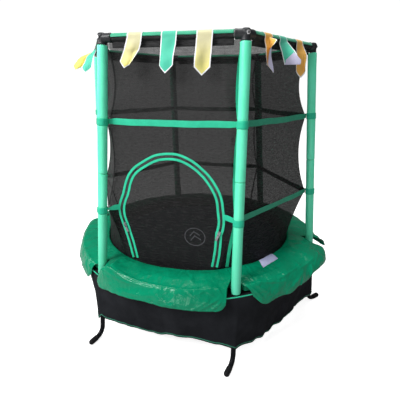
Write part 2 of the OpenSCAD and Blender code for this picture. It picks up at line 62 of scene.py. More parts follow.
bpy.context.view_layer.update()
rng = np.random.RandomState(7)

# ------------------------------------------------------------------ the part's own figures, in metres
RING_R, RING_Z = .700, .365
TOP_R, TWIST, POLE_TOP, RAIL_Z = .606, radians(3.53), 1.468, 1.492
TR, FOAM_R = .0125, .0225
JOINT_Z = .910
MAT_R, MAT_Z = .527, .381
TIE1, TIE2, STRAP_W, BOW = .727, 1.148, .030, .036
DOOR_TURN, DOOR_Y, DOOR_CX, DOOR_CZ, DOOR_R = radians(1.8), .521, -.010, .733, .258
DOOR_BL, DOOR_BR, DOOR_Z, ARCH_A = .199, .220, .455, radians(22)
Y_TAPE = .5229
SKIRT_Z, SKIRT_TOP, SKIRT_TOP_R, SKIRT_LOW_R = .078, .380, .721, .744
HP = POLE_TOP - RING_Z
DXP, DYP = TOP_R * cos(TWIST) - RING_R, TOP_R * sin(TWIST)
LEAN, LEAN_AZ = math.atan(hypot(DXP, DYP) / HP), atan2(DYP, DXP)
RAIL_AP = TOP_R * cos(pi / 6)
LOOP_I, LOOP_O = FOAM_R + .0003, FOAM_R + .0023
NET_Z0, NET_Z1 = .386, RAIL_Z - .041


def rp(z): return np.hypot(RING_R + DXP * (z - RING_Z) / HP, DYP * (z - RING_Z) / HP)
def ph(z): return np.arctan2(DYP * (z - RING_Z) / HP, RING_R + DXP * (z - RING_Z) / HP)
def along(z): return (z - RING_Z) / cos(LEAN)
def lin(z, a, b, fa, fb): return fa + (fb - fa) * (z - a) / (b - a)
def hump(z, a, b): return np.where((z <= a) | (z >= b), 0, 4 * (z - a) * (b - z) / (b - a) ** 2)
def smooth(t):
    t = np.clip(t, 0, 1)
    return t * t * (3 - 2 * t)
def turn(a, x, y): return x * np.cos(a) - y * np.sin(a), x * np.sin(a) + y * np.cos(a)


RT1, RT2, RT3 = rp(TIE1) - FOAM_R - .008, rp(TIE2) - FOAM_R - .008, rp(NET_Z1) - FOAM_R - .008


def rc(z):
    z = np.asarray(z, float)
    return np.where(z <= .442, lin(z, NET_Z0, .442, .556, .558),
           np.where(z <= TIE1, lin(z, .442, TIE1, .558, RT1) - .008 * hump(z, .442, TIE1),
           np.where(z <= TIE2, lin(z, TIE1, TIE2, RT1, RT2) - BOW * hump(z, TIE1, TIE2),
                    lin(z, TIE2, NET_Z1, RT2, RT3) - BOW * hump(z, TIE2, NET_Z1))))


def gen(k, u, z):
    """Net surface of side k at share u across and height z, as in the CAD net."""
    a0, a1 = radians(60 * k) + ph(z), radians(60 * k + 60) + ph(z)
    r = rc(z)
    wb = np.where(z <= .442, 1, np.where(z < TIE1, lin(z, .442, TIE1, 1, 0), 0))
    wt = np.where(z <= TIE2, 0, lin(z, TIE2, NET_Z1, 0, 1))
    arcs = np.sqrt(.557 ** 2 - ((u - .5) * .557) ** 2) - .557 * cos(pi / 6)
    edge = np.minimum(1, np.minimum(u / .12, (1 - u) / .12)) * (RAIL_AP - RT3 * cos(pi / 6))
    off = wb * arcs + wt * edge
    an = radians(60 * k + 30) + ph(z)
    x = r * np.cos(a0) * (1 - u) + r * np.cos(a1) * u + np.cos(an) * off
    y = r * np.sin(a0) * (1 - u) + r * np.sin(a1) * u + np.sin(an) * off
    return x, y


def xs(z):
    return np.where(z <= .442, .200, np.where(z <= .455, lin(z, .442, .455, .200, .240),
           np.where(z <= TIE1, lin(z, .455, TIE1, .240, .292), lin(z, TIE1, TIE2, .292, .272))))


def front(q, z):
    """Front net at q from 0 (left corner) to 6 (right corner) and height z."""
    q, z = np.broadcast_arrays(np.asarray(q, float), np.asarray(z, float))
    us = [.004, .12, .3, .5, .7, .88, .996]
    fus = [0, -1, -.5, 0, .5, 1, 0]
    px, py = [], []
    wt = np.where(z <= TIE2, 0, lin(z, TIE2, NET_Z1, 0, 1))
    for i in range(7):
        gx, gy = gen(4, us[i], z)
        if i in (0, 6):
            px.append(gx), py.append(gy)
            continue
        zz = np.minimum(z, TIE2)
        dx, dy = turn(DOOR_TURN, fus[i] * xs(zz), -DOOR_Y)
        px.append(dx * (1 - wt) + gx * wt), py.append(dy * (1 - wt) + gy * wt)
    px, py = np.array(px), np.array(py)
    i = np.clip(np.floor(q).astype(int), 0, 5)
    f = q - i
    ii = np.indices(q.shape)
    a = (i,) + tuple(ii)
    b = (i + 1,) + tuple(ii)
    return px[a] * (1 - f) + px[b] * f, py[a] * (1 - f) + py[b] * f


def pole_frame(k):
    """Origin and axes of pole k; the third axis runs up the pole."""
    ry = np.array([[cos(LEAN), 0, sin(LEAN)], [0, 1, 0], [-sin(LEAN), 0, cos(LEAN)]])
    def rz(a): return np.array([[cos(a), -sin(a), 0], [sin(a), cos(a), 0], [0, 0, 1.]])
    m = rz(radians(60 * k)) @ rz(LEAN_AZ) @ ry
    o = rz(radians(60 * k)) @ np.array([RING_R, 0, RING_Z])
    return o, m[:, 0], m[:, 1], m[:, 2]


def rail_frame(k):
    """Origin on rail k's middle, outward direction, direction along the rail, up."""
    a = radians(60 * k + 30) + TWIST
    out = np.array([cos(a), sin(a), 0])
    side = np.array([-sin(a), cos(a), 0])
    return out * RAIL_AP + np.array([0, 0, RAIL_Z]), out, side, np.array([0, 0, 1.])


# ------------------------------------------------------------------ smooth repeatable noise
def lattice(seed): return np.random.RandomState(seed).uniform(-1, 1, (64, 64))


def wave_noise(x, y, seed=1, wrap_x=None):
    """Value noise from -1 to 1 with cell size 1; wrap_x is the number of cells after which x repeats."""
    g = lattice(seed)
    xi, yi = np.floor(x).astype(int), np.floor(y).astype(int)
    fx, fy = smooth(x - xi), smooth(y - yi)
    m = wrap_x or 64
    x0, x1, y0, y1 = xi % m % 64, (xi + 1) % m % 64, yi % 64, (yi + 1) % 64
    return (g[x0, y0] * (1 - fx) + g[x1, y0] * fx) * (1 - fy) + (g[x0, y1] * (1 - fx) + g[x1, y1] * fx) * fy


# ------------------------------------------------------------------ mesh building
class Geo:
    """Collects grids and closed strips into one mesh with UVs in metres."""
    def __init__(s):
        s.v, s.q, s.uv, s.n, s.caps = [], [], [], 0, []

    def grid(s, P, U, V, wrap=False, flip=False, cap=False):
        P = np.asarray(P, float)
        nr, nc = P.shape[:2]
        cols = nc if wrap else nc - 1
        r, c = np.meshgrid(np.arange(nr - 1), np.arange(cols), indexing="ij")
        c2 = (c + 1) % nc
        idx = np.stack([r * nc + c, r * nc + c2, (r + 1) * nc + c2, (r + 1) * nc + c], -1).reshape(-1, 4)
        U, V = np.broadcast_to(U, (nr, cols + 1)), np.broadcast_to(V, (nr, cols + 1))
        uv = np.stack([np.stack([A[r, c], A[r, c + 1], A[r + 1, c + 1], A[r + 1, c]], -1) for A in (U, V)], -1).reshape(-1, 4, 2)
        if flip:
            idx, uv = idx[:, ::-1], uv[:, ::-1]
        s.v.append(P.reshape(-1, 3))
        s.q.append(idx + s.n)
        s.uv.append(uv)
        if cap:
            for row, rev in ((0, True), (nr - 1, False)):
                f = [s.n + row * nc + i for i in range(nc)]
                s.caps.append(f[::-1] if rev != flip else f)
        s.n += nr * nc
        return s

    def ribbon(s, C, W, Nn, width, thick, crown=0., m=6):
        """Closed flat band along the points C; W is across it and Nn off its face."""
        C, W, Nn = (np.asarray(a, float) for a in (C, W, Nn))
        n = len(C)
        width, thick = np.broadcast_to(width, n)[:, None], np.broadcast_to(thick, n)[:, None]
        t = np.linspace(-.5, .5, m + 1)
        edge = .5 - np.abs(t)
        fat = np.minimum(1, .35 + edge * width / .003)
        face = lambda sgn, tt: C[:, None] + W[:, None] * (tt * width)[..., None] + Nn[:, None] * (
            (sgn * thick / 2 * np.minimum(1, .35 + (.5 - np.abs(tt)) * width / .003)) + crown * (1 - 4 * tt ** 2))[..., None]
        P = np.concatenate([face(1, t[None]), face(-1, t[None, ::-1])], 1)
        d = np.r_[0, np.cumsum(np.linalg.norm(np.diff(C, axis=0), axis=1))]
        tu = np.r_[t, t[::-1], t[:1]]
        return s.grid(P, tu[None] * width, d[:, None], wrap=True, cap=True)

    def tube(s, C, r, sides=12, cap=True):
        C = np.asarray(C, float)
        n = len(C)
        T = np.gradient(C, axis=0)
        T /= np.linalg.norm(T, axis=1)[:, None]
        up = np.array([0, 0, 1.]) if abs(T[0, 2]) < .9 else np.array([1., 0, 0])
        A = np.zeros_like(T)
        A[0] = np.cross(T[0], up)
        A[0] /= np.linalg.norm(A[0])
        for i in range(1, n):
            a = A[i - 1] - T[i] * (A[i - 1] @ T[i])
            A[i] = a / np.linalg.norm(a)
        B = np.cross(T, A)
        th = np.arange(sides) / sides * 2 * pi
        r = np.broadcast_to(r, n)
        P = C[:, None] + r[:, None, None] * (A[:, None] * np.cos(th)[None, :, None] + B[:, None] * np.sin(th)[None, :, None])
        d = np.r_[0, np.cumsum(np.linalg.norm(np.diff(C, axis=0), axis=1))]
        U = np.linspace(0, 1, sides + 1)[None] * (2 * pi * r.mean())
        return s.grid(P, U, d[:, None], wrap=True, cap=cap)

    def lathe(s, o, ax, ay, az, prof, sides=48, wob=None, closed=False, cap=True):
        """Turned body: prof is a list of (radius, height) from one end to the other."""
        prof = np.asarray(prof, float)
        if closed:
            prof = np.vstack([prof, prof[:1]])
        th = np.arange(sides) / sides * 2 * pi
        R, H = np.meshgrid(prof[:, 0], th * 0, indexing="ij")[0], np.repeat(prof[:, 1:2], sides, 1)
        if wob is not None:
            R = R + wob(th[None] + 0 * R, H)
        P = o + (R * np.cos(th))[..., None] * ax + (R * np.sin(th))[..., None] * ay + H[..., None] * az
        d = np.r_[0, np.cumsum(np.hypot(*np.diff(prof, axis=0).T))]
        U = np.linspace(0, 1, sides + 1)[None] * 2 * pi * max(prof[:, 0].mean(), 1e-4)
        return s.grid(P, U, d[:, None], wrap=True, cap=cap and not closed)


def make(name, geo, mat, body="frame", rep=(), closed=True, weld=None, smooth_angle=50, ride=True):
    V = np.concatenate(geo.v)
    Q = np.concatenate(geo.q)
    UV = np.concatenate(geo.uv).reshape(-1, 2)
    me = bpy.data.meshes.new(name)
    me.from_pydata(V.tolist(), [], Q.tolist() + geo.caps)
    layer = me.uv_layers.new(name="metres")
    flat = np.zeros((len(me.loops), 2))
    flat[:len(UV)] = UV
    layer.data.foreach_set("uv", flat.ravel())
    if closed or weld:
        bm = bmesh.new()
        bm.from_mesh(me)
        if weld:
            bmesh.ops.remove_doubles(bm, verts=bm.verts, dist=weld)
        if closed:
            bmesh.ops.recalc_face_normals(bm, faces=bm.faces)
        bm.to_mesh(me)
        bm.free()
    me.shade_smooth()
    if smooth_angle:
        me.set_sharp_from_angle(angle=radians(smooth_angle))
    ob = bpy.data.objects.new(name, me)
    bpy.context.scene.collection.objects.link(ob)
    ob.data.materials.append(mat)
    if ride:
        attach(ob, body)
    if rep:
        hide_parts(*rep)
    return ob


def thicken(ob, t, offset=0.):
    m = ob.modifiers.new("thickness", "SOLIDIFY")
    m.thickness, m.offset, m.use_even_offset = t, offset, False
    return ob


# ------------------------------------------------------------------ materials
class Mat:
    def __init__(s, name, base=None, rough=None, **inputs):
        s.m = bpy.data.materials.new(name)
        s.m.use_nodes = True
        s.t = s.m.node_tree
        s.t.nodes.clear()
        s.out = s.t.nodes.new("ShaderNodeOutputMaterial")
        s.p = s.t.nodes.new("ShaderNodeBsdfPrincipled")
        s.t.links.new(s.p.outputs[0], s.out.inputs[0])
        if base is not None and not hasattr(base, "node"):
            s.p.inputs["Base Color"].default_value = (*base, 1)
        if rough is not None:
            s.p.inputs["Roughness"].default_value = rough
        for k, v in inputs.items():
            s.p.inputs[k.replace("_", " ")].default_value = v
        s._obj = s._uv = None
        s._h = []

    def node(s, kind, **kw):
        n = s.t.nodes.new("ShaderNode" + kind)
        for k, v in kw.items():
            setattr(n, k, v)
        return n

    def put(s, sock, val):
        if hasattr(val, "links"):
            s.t.links.new(val, sock)
        elif isinstance(val, (tuple, list)) and len(val) == 3 and sock.type == "RGBA":
            sock.default_value = (*val, 1)
        else:
            sock.default_value = val

    @property
    def obj(s):
        if s._obj is None:
            s._obj = s.node("TexCoord").outputs["Object"]
        return s._obj

    @property
    def uv(s):
        if s._uv is None:
            s._uv = s.node("UVMap", uv_map="metres").outputs[0]
        return s._uv

    def mapped(s, vec, scale=(1, 1, 1), loc=(0, 0, 0), rot=(0, 0, 0)):
        n = s.node("Mapping")
        s.put(n.inputs["Vector"], vec)
        n.inputs["Scale"].default_value = scale
        n.inputs["Location"].default_value = loc
        n.inputs["Rotation"].default_value = rot
        return n.outputs[0]

    def noise(s, scale, detail=2, rough=.5, vec=None, dist=0.):
        n = s.node("TexNoise")
        s.put(n.inputs["Vector"], vec if vec is not None else s.obj)
        n.inputs["Scale"].default_value = scale
        n.inputs["Detail"].default_value = detail
        n.inputs["Roughness"].default_value = rough
        n.inputs["Distortion"].default_value = dist
        return n.outputs["Fac"]

    def vor(s, scale, feature="F1", vec=None):
        n = s.node("TexVoronoi", feature=feature)
        s.put(n.inputs["Vector"], vec if vec is not None else s.obj)
        n.inputs["Scale"].default_value = scale
        return n.outputs["Distance"]

    def wave(s, scale, axis="X", dist=0., profile="SIN", vec=None, detail=2, dscale=1.):
        n = s.node("TexWave", wave_type="BANDS", bands_direction=axis, wave_profile=profile)
        s.put(n.inputs["Vector"], vec if vec is not None else s.uv)
        n.inputs["Scale"].default_value = scale
        n.inputs["Distortion"].default_value = dist
        n.inputs["Detail"].default_value = detail
        n.inputs["Detail Scale"].default_value = dscale
        return n.outputs["Fac"]

    def math(s, op, a, b=0., c=None, clamp=False):
        n = s.node("Math", operation=op, use_clamp=clamp)
        s.put(n.inputs[0], a)
        s.put(n.inputs[1], b)
        if c is not None:
            s.put(n.inputs[2], c)
        return n.outputs[0]

    def rng(s, val, a, b, c, d, clamp=True):
        n = s.node("MapRange", clamp=clamp)
        s.put(n.inputs[0], val)
        for i, v in enumerate((a, b, c, d), 1):
            s.put(n.inputs[i], v)
        return n.outputs[0]

    def mix(s, fac, a, b, mode="MIX"):
        n = s.node("Mix", data_type="RGBA", blend_type=mode)
        s.put(n.inputs[0], fac)
        s.put(n.inputs[6], a)
        s.put(n.inputs[7], b)
        return n.outputs[2]

    def sep(s, vec):
        n = s.node("SeparateXYZ")
        s.put(n.inputs[0], vec)
        return n.outputs

    def color(s, c):
        s.put(s.p.inputs["Base Color"], c)
        return s

    def set(s, name, val):
        s.put(s.p.inputs[name], val)
        return s

    def bump(s, height, dist=.001, strength=1.):
        n = s.node("Bump")
        n.inputs["Distance"].default_value = dist
        n.inputs["Strength"].default_value = strength
        s.put(n.inputs["Height"], height)
        if s._h:
            s.put(n.inputs["Normal"], s._h[-1])
        s._h.append(n.outputs[0])
        s.put(s.p.inputs["Normal"], n.outputs[0])
        return s


def webbing_pattern(m, pitch=.0022, across=.0016):
    """Over-and-under threads of a woven tape, from its UVs in metres."""
    x, y = m.sep(m.uv)[0], m.sep(m.uv)[1]
    a = m.math("SINE", m.math("MULTIPLY", x, 2 * pi / across))
    b = m.math("SINE", m.math("MULTIPLY", y, 2 * pi / pitch))
    w = m.math("MULTIPLY", a, b)
    return m.rng(w, -1, 1, 0, 1)


def mat_tape(name, col, dark, pitch=.0022, rough=.62, sheen=.25):
    m = Mat(name, rough=rough, Sheen_Weight=sheen, Sheen_Roughness=.4)
    w = webbing_pattern(m, pitch)
    big = m.noise(26, 3, .6)
    c = m.mix(m.rng(w, .1, .9, 0, 1), dark, col)
    c = m.mix(m.rng(big, .3, .7, 0, .35), c, tuple(min(1, v * 1.25 + .01) for v in col))
    m.color(c)
    m.bump(w, .0003, .5)
    m.bump(m.noise(140, 2), .0006, .35)
    return m.m


def mat_metal(name, col, rough, streak=True):
    m = Mat(name, rough=rough, Metallic=1.)
    n1 = m.noise(60, 4, .6)
    n2 = m.vor(38)
    c = m.mix(m.rng(n2, 0, .6, 0, 1), tuple(v * .86 for v in col), col)
    c = m.mix(m.rng(n1, .35, .7, 0, .4), c, tuple(v * .7 for v in col))
    m.color(c)
    m.set("Roughness", m.rng(n1, .3, .7, rough * .8, min(1, rough * 1.35)))
    m.bump(m.noise(500, 2), .0002, .3)
    return m.m


def mat_plastic(name, col, rough, grain=900, worn=(.12, .12, .125), spec=.5):
    m = Mat(name, rough=rough, Specular_IOR_Level=spec)
    g = m.noise(grain, 2, .6)
    big = m.noise(30, 4, .6)
    c = m.mix(m.rng(big, .35, .75, 0, .45), col, tuple(min(1, v * 1.7 + .004) for v in col))
    geo = m.node("NewGeometry")
    edge = m.rng(geo.outputs["Pointiness"], .52, .60, 0, .6)
    c = m.mix(m.math("MULTIPLY", edge, m.rng(m.noise(220, 3), .45, .65, 0, 1)), c, worn)
    m.color(c)
    m.set("Roughness", m.rng(big, .3, .7, rough * .85, min(1, rough * 1.25)))
    m.bump(g, .00025, .35)
    return m.m


M_STEEL = mat_metal("tube_steel", (.66, .67, .68), .34)
M_RING = mat_metal("ring_zinc_dark", (.09, .09, .095), .5)
M_SCREW = mat_metal("screw_steel", (.72, .72, .74), .22)
M_ZIPMETAL = mat_metal("zip_metal", (.42, .42, .44), .38)
M_CAP = mat_plastic("cap_black", (.006, .006, .007), .5, 500, (.05, .05, .052), .14)
M_WASHER = mat_plastic("washer_pale", (.74, .74, .75), .4, 900)
M_ELBOW = mat_plastic("elbow_black", (.013, .014, .017), .42, 1100, worn=(.20, .21, .22))
M_ZIP = mat_plastic("zip_black", (.012, .016, .015), .45, 1500)


def leg_paint():
    m = Mat("leg_black", rough=.42, Specular_IOR_Level=.10)
    big, fine = m.noise(24, 4, .6), m.noise(420, 2)
    c = m.mix(m.rng(big, .35, .7, 0, 1), (.0030, .0034, .0046), (.0075, .0082, .0100))
    z = m.sep(m.obj)[2]
    low = m.math("MULTIPLY", m.rng(z, .0, .06, 1, 0), m.rng(m.noise(180, 4, .7), .52, .62, 0, 1))
    c = m.mix(m.math("MULTIPLY", low, .12), c, (.05, .047, .044))
    m.color(c)
    m.set("Roughness", m.rng(big, .3, .7, .32, .50))
    m.bump(fine, .0004, .3)
    return m.m


def foam():
    m = Mat("foam_mint", rough=.40, Specular_IOR_Level=.55)
    z = m.sep(m.obj)[2]
    big, mid, fine = m.noise(9, 3, .55), m.noise(70, 4, .65), m.noise(1100, 2, .6)
    pits = m.vor(1500)
    c = m.mix(m.rng(big, .3, .7, 0, 1), (.110, .840, .500), (.150, .920, .600))
    c = m.mix(m.rng(mid, .55, .8, 0, .35), c, (.085, .700, .410))
    # painted shade: the sleeves are darkened towards the pad, up to 60% of a deeper mint at z .38 and none above z .80
    low = m.rng(z, .38, .80, .60, 0)
    c = m.mix(low, c, (.060, .470, .285))
    m.color(c)
    m.set("Roughness", m.rng(mid, .3, .7, .28, .44))
    m.bump(m.rng(pits, 0, .5, 0, 1), .00025, .35)
    m.bump(m.noise(46, 3, .6, vec=m.mapped(m.obj, (1, 1, .22))), .0016, .35)
    return m.m


def net(name, a_lo, a_hi, col, cell=.0034):
    """Knitted net: rows of small holes with slightly uneven threads, seen through."""
    m = Mat(name, rough=.72, Specular_IOR_Level=.25)
    x, y = m.sep(m.uv)[0], m.sep(m.uv)[1]
    odd = m.math("MULTIPLY", m.math("FLOOR", m.math("DIVIDE", y, cell)), .5)
    a = m.math("SINE", m.math("MULTIPLY", m.math("ADD", m.math("DIVIDE", x, cell), odd), 2 * pi))
    b = m.math("SINE", m.math("MULTIPLY", y, 2 * pi / cell))
    hole = m.math("MULTIPLY", m.rng(a, -.5, .75, 0, 1), m.rng(b, -.6, .7, 0, 1))
    rows = m.noise(1, 3, .65, vec=m.mapped(m.uv, (26, 125, 1)))
    cols = m.noise(1, 2, .5, vec=m.mapped(m.uv, (150, 5, 1)))
    streak = m.math("ADD", m.rng(rows, .3, .7, -.05, .05, False), m.rng(cols, .3, .7, -.012, .012, False))
    alpha = m.math("ADD", m.rng(hole, 0, 1, a_hi, a_lo), streak, clamp=True)
    c = m.mix(m.rng(rows, .36, .66, 0, 1), tuple(v * .52 for v in col), tuple(v * 1.60 for v in col))
    m.color(c)
    m.set("Alpha", alpha)
    m.bump(m.math("SUBTRACT", 1., hole), .0004, .5)
    return m.m


M_NET = net("net_black", .64, .90, (.0105, .0100, .0102))
M_NETHEM = net("net_hem", .90, 1.0, (.022, .022, .023))


def skirt_cloth():
    m = Mat("skirt_black", rough=.85, Specular_IOR_Level=.06)
    x, y = m.sep(m.uv)[0], m.sep(m.uv)[1]
    a = m.math("SINE", m.math("MULTIPLY", x, 2 * pi / .0016))
    b = m.math("SINE", m.math("MULTIPLY", y, 2 * pi / .0016))
    w = m.rng(m.math("MULTIPLY", a, b), -1, 1, 0, 1)
    big = m.noise(7, 5, .65)
    c = m.mix(m.rng(w, 0, 1, 0, 1), (.0075, .0080, .0098), (.0165, .0178, .021))
    c = m.mix(m.rng(big, .4, .75, 0, .55), c, (.028, .030, .035))
    m.color(c)
    m.bump(w, .0003, .45)
    m.bump(m.noise(34, 4, .6, vec=m.mapped(m.obj, (1, 1, .5))), .003, .35)
    return m.m


def mat_cloth(name="mat_black", k=1.):
    m = Mat(name, rough=.6, Specular_IOR_Level=.22)
    o = m.sep(m.obj)
    p = .0030
    a = m.math("SINE", m.math("MULTIPLY", o[0], 2 * pi / p))
    b = m.math("SINE", m.math("MULTIPLY", o[1], 2 * pi / p))
    w = m.rng(m.math("MULTIPLY", a, b), -1, 1, 0, 1)
    big = m.noise(6, 5, .6)
    streak = m.noise(1, 3, .6, vec=m.mapped(m.obj, (120, 7, 1)))
    c = m.mix(w, tuple(k * v for v in (.0018, .0034, .0085)), tuple(k * v for v in (.0052, .0096, .0215)))
    c = m.mix(m.rng(big, .42, .75, 0, .6), c, tuple(k * v for v in (.0085, .0150, .0310)))
    c = m.mix(m.rng(streak, .5, .7, 0, .35), c, tuple(k * v for v in (.0085, .0145, .0285)))
    m.color(c)
    m.set("Roughness", m.rng(big, .3, .7, .52, .72))
    m.bump(w, .0004, .6)
    return m.m


def vinyl():
    m = Mat("vinyl_green", rough=.24, Specular_IOR_Level=.27)
    big = m.noise(5, 4, .6)
    mid = m.noise(28, 5, .62, dist=.6)
    fine = m.noise(170, 3, .6)
    grain = m.vor(1300)
    c = m.mix(m.rng(big, .3, .7, 0, 1), (.0000, .206, .100), (.0000, .272, .135))
    c = m.mix(m.rng(mid, .52, .8, 0, .4), c, (.0000, .155, .074))
    m.color(c)
    m.set("Roughness", m.rng(mid, .3, .75, .15, .26))
    m.bump(m.noise(20, 4, .62, vec=m.mapped(m.uv, (1, 1.7, 1)), dist=1.2), .006, .34)
    m.bump(m.noise(11, 3, .6, vec=m.mapped(m.uv, (1.9, .6, 1)), dist=1.6), .010, .30)
    m.bump(m.noise(62, 4, .6, dist=.9), .0016, .30)
    m.bump(fine, .0004, .3)
    m.bump(grain, .0001, .25)
    return m.m


def pennant(name, top, low, border=(.86, .86, .88), back=(.62, .60, .80), w=.066, l=.15):
    """Coloured cloth with a pale border, from UVs that run across and down the pennant in metres."""
    m = Mat(name, rough=.62, Sheen_Weight=.15)
    x, y = m.sep(m.uv)[0], m.sep(m.uv)[1]
    ax = m.math("ABSOLUTE", x)
    side = m.math("SUBTRACT", w / 2, ax)
    # distance to the pointed end: the point's edges run from (w/2, l-.032) to (0, l)
    point = m.math("MULTIPLY", m.math("SUBTRACT", m.math("SUBTRACT", l, y), m.math("MULTIPLY", ax, .032 / (w / 2))), .718)
    d = m.math("MINIMUM", side, point)
    edge = m.rng(d, .0042, .0052, 1, 0)
    grad = m.rng(y, .02, l - .02, 0, 1)
    c = m.mix(grad, top, low)
    c = m.mix(m.rng(m.noise(60, 4), .4, .75, 0, .25), c, tuple(v * .8 for v in top))
    c = m.mix(edge, c, border)
    geo = m.node("NewGeometry")
    c = m.mix(geo.outputs["Backfacing"], c, back) if back else c
    m.color(c)
    wv = m.math("MULTIPLY", m.math("SINE", m.math("MULTIPLY", x, 2 * pi / .0011)), m.math("SINE", m.math("MULTIPLY", y, 2 * pi / .0011)))
    m.bump(wv, .0002, .4)
    stitch = m.math("MULTIPLY", m.rng(m.math("ABSOLUTE", m.math("SUBTRACT", d, .0022)), .0004, .0009, 1, 0), m.rng(m.math("SINE", m.math("MULTIPLY", m.math("ADD", x, y), 2 * pi / .004)), -.2, .3, 0, 1))
    m.bump(stitch, .0005, .6)
    return m.m


M_LEG, M_FOAM, M_SKIRT, M_MAT, M_VINYL = leg_paint(), foam(), skirt_cloth(), mat_cloth(), vinyl()
M_MATHEM = mat_cloth("mat_hem", 1.25)
M_TAPE = mat_tape("tape_green", (.016, .680, .385), (.008, .420, .235), rough=.62, sheen=.1)
M_STRAP = mat_tape("strap_green", (.012, .600, .345), (.005, .390, .220), .0026, rough=.62, sheen=.1)
M_LOOP = mat_tape("loop_green", (.006, .560, .330), (.003, .350, .200), .0026, rough=.62, sheen=.1)
M_PIPE = mat_tape("piping_green", (.012, .400, .215), (.006, .240, .125), .0016, rough=.5)
M_PIPEDARK = mat_tape("skirt_piping_green", (.006, .190, .105), (.003, .090, .050), .0016, rough=.6)


def cord_mat():
    m = Mat("cord_black", rough=.66)
    x, y = m.sep(m.uv)[0], m.sep(m.uv)[1]
    a = m.math("SINE", m.math("MULTIPLY", m.math("ADD", m.math("MULTIPLY", x, 1.), y), 2 * pi / .0022))
    b = m.math("SINE", m.math("MULTIPLY", m.math("SUBTRACT", m.math("MULTIPLY", x, 1.), y), 2 * pi / .0022))
    w = m.math("MAXIMUM", a, b)
    m.color(m.mix(m.rng(w, 0, 1, 0, 1), (.006, .006, .007), (.024, .024, .027)))
    m.bump(w, .0004, .6)
    return m.m


def patch_mat():
    m = Mat("patch_pale", rough=.5, Sheen_Weight=.1)
    w = webbing_pattern(m, .0012, .0012)
    c = m.mix(m.rng(m.noise(30, 4), .35, .7, 0, 1), (.49, .52, .80), (.61, .65, .92))
    m.color(m.mix(m.math("MULTIPLY", w, .15), c, (.42, .40, .62)))
    m.bump(w, .0002, .4)
    m.bump(m.noise(60, 3), .001, .4)
    return m.m


def emblem_mat():
    m = Mat("emblem_grey", rough=.55)
    n = m.noise(900, 2)
    m.color(m.mix(m.rng(n, .42, .62, 0, 1), (.46, .47, .54), (.70, .71, .80)))
    m.bump(n, .0002, .4)
    return m.m


M_CORD, M_PATCH, M_EMBLEM = cord_mat(), patch_mat(), emblem_mat()
M_CREAM = pennant("flag_cream", (.62, .58, .34), (.84, .76, .22))
M_GREEN = pennant("flag_green", (.045, .50, .33), (.06, .56, .38))
M_ORANGE = pennant("flag_orange", (.80, .42, .06), (.84, .46, .09))
M_YELLOW = pennant("flag_yellow", (.84, .68, .10), (.86, .74, .13))

# ------------------------------------------------------------------ carried-over CAD nodes
CARRY = {
    "frame_rails": (M_RING, "tube_steel"), "corner_tees": (M_RING, "tube_steel"), "lower_poles": (M_STEEL, "tube_steel"),
    "upper_poles": (M_STEEL, "tube_steel"), "pole_couplers": (M_STEEL, "tube_steel"), "top_rails": (M_STEEL, "tube_steel"),
    "mat_rings": (M_RING, "tube_steel"), "tee_screws": (M_SCREW, "screw_steel"), "elbow_screws": (M_SCREW, "screw_steel"),
    "elbow_washers": (M_WASHER, "screw_steel"), "leg_tubes": (M_LEG, "leg_black"), "foot_caps": (M_CAP, "cap_black"),
    "zip_slider_left": (M_ZIPMETAL, "zip_metal"), "zip_slider_right": (M_ZIPMETAL, "zip_metal"),
    "zip_puller_left": (M_ZIPMETAL, "zip_metal"), "zip_puller_right": (M_ZIPMETAL, "zip_metal"),
}
for name, (m, sl) in CARRY.items():
    o = NODES[name]
    o.data.materials.clear()
    o.data.materials.append(m)

# ------------------------------------------------------------------ net panels
PANELS = {5: "net_front_right", 0: "net_back_right", 1: "net_back", 2: "net_back_left", 3: "net_front_left"}


def net_ripple(k, u, z, width):
    """Small folds: pulled out of the corners at the straps, and a few soft dents."""
    hold = hump(z, .442, TIE1) + hump(z, TIE1, TIE2) + hump(z, TIE2, NET_Z1)
    side = np.minimum(1, np.minimum(u, 1 - u) / .06)
    soft = wave_noise(u * 5 + 7 * k, z * 9, 11 + k) * .0035 + wave_noise(u * 13, z * 5 + 3 * k, 31 + k) * .0014
    near = np.exp(-(np.minimum(u, 1 - u) / .16) ** 2)
    fan = sum(np.cos((z - zt) / (.012 + .16 * np.minimum(u, 1 - u)) * 2.2) * np.exp(-((z - zt) / .16) ** 2) for zt in (TIE1, TIE2)) * near * .0016
    return (soft + fan) * hold * side


for k, node in PANELS.items():
    zz = np.unique(np.r_[np.linspace(NET_Z0, .455, 5), np.linspace(.455, TIE1, 22), np.linspace(TIE1, TIE2, 36), np.linspace(TIE2, NET_Z1, 26)])
    uu = np.r_[np.linspace(.001, .12, 9)[:-1], np.linspace(.12, .88, 40), np.linspace(.88, .999, 9)[1:]]
    U, Z = np.meshgrid(uu, zz)
    x, y = gen(k, U, Z)
    an = radians(60 * k + 30) + ph(Z)
    d = net_ripple(k, U, Z, .6) + .0008
    P = np.stack([x + np.cos(an) * d, y + np.sin(an) * d, Z], -1)
    g = Geo().grid(P, (U - .5) * rc(Z), Z)
    Ut, Zt = np.meshgrid(uu, np.linspace(0, 1, 6))
    Zt = NET_Z1 + (RAIL_Z - .0178 + .0130 * (1 - smooth(np.minimum(Ut, 1 - Ut) / .07)) - NET_Z1) * Zt
    xt, yt = gen(k, Ut, NET_Z1)
    inn = -.0030 * smooth((Zt - NET_Z1) / .010) + .0008
    an = radians(60 * k + 30) + ph(NET_Z1)
    g.grid(np.stack([xt + np.cos(an) * inn, yt + np.sin(an) * inn, Zt], -1), (Ut - .5) * rc(NET_Z1), Zt)
    ob = make(node + "_sheet", g, M_NET, rep=[node], closed=False, weld=2e-4)


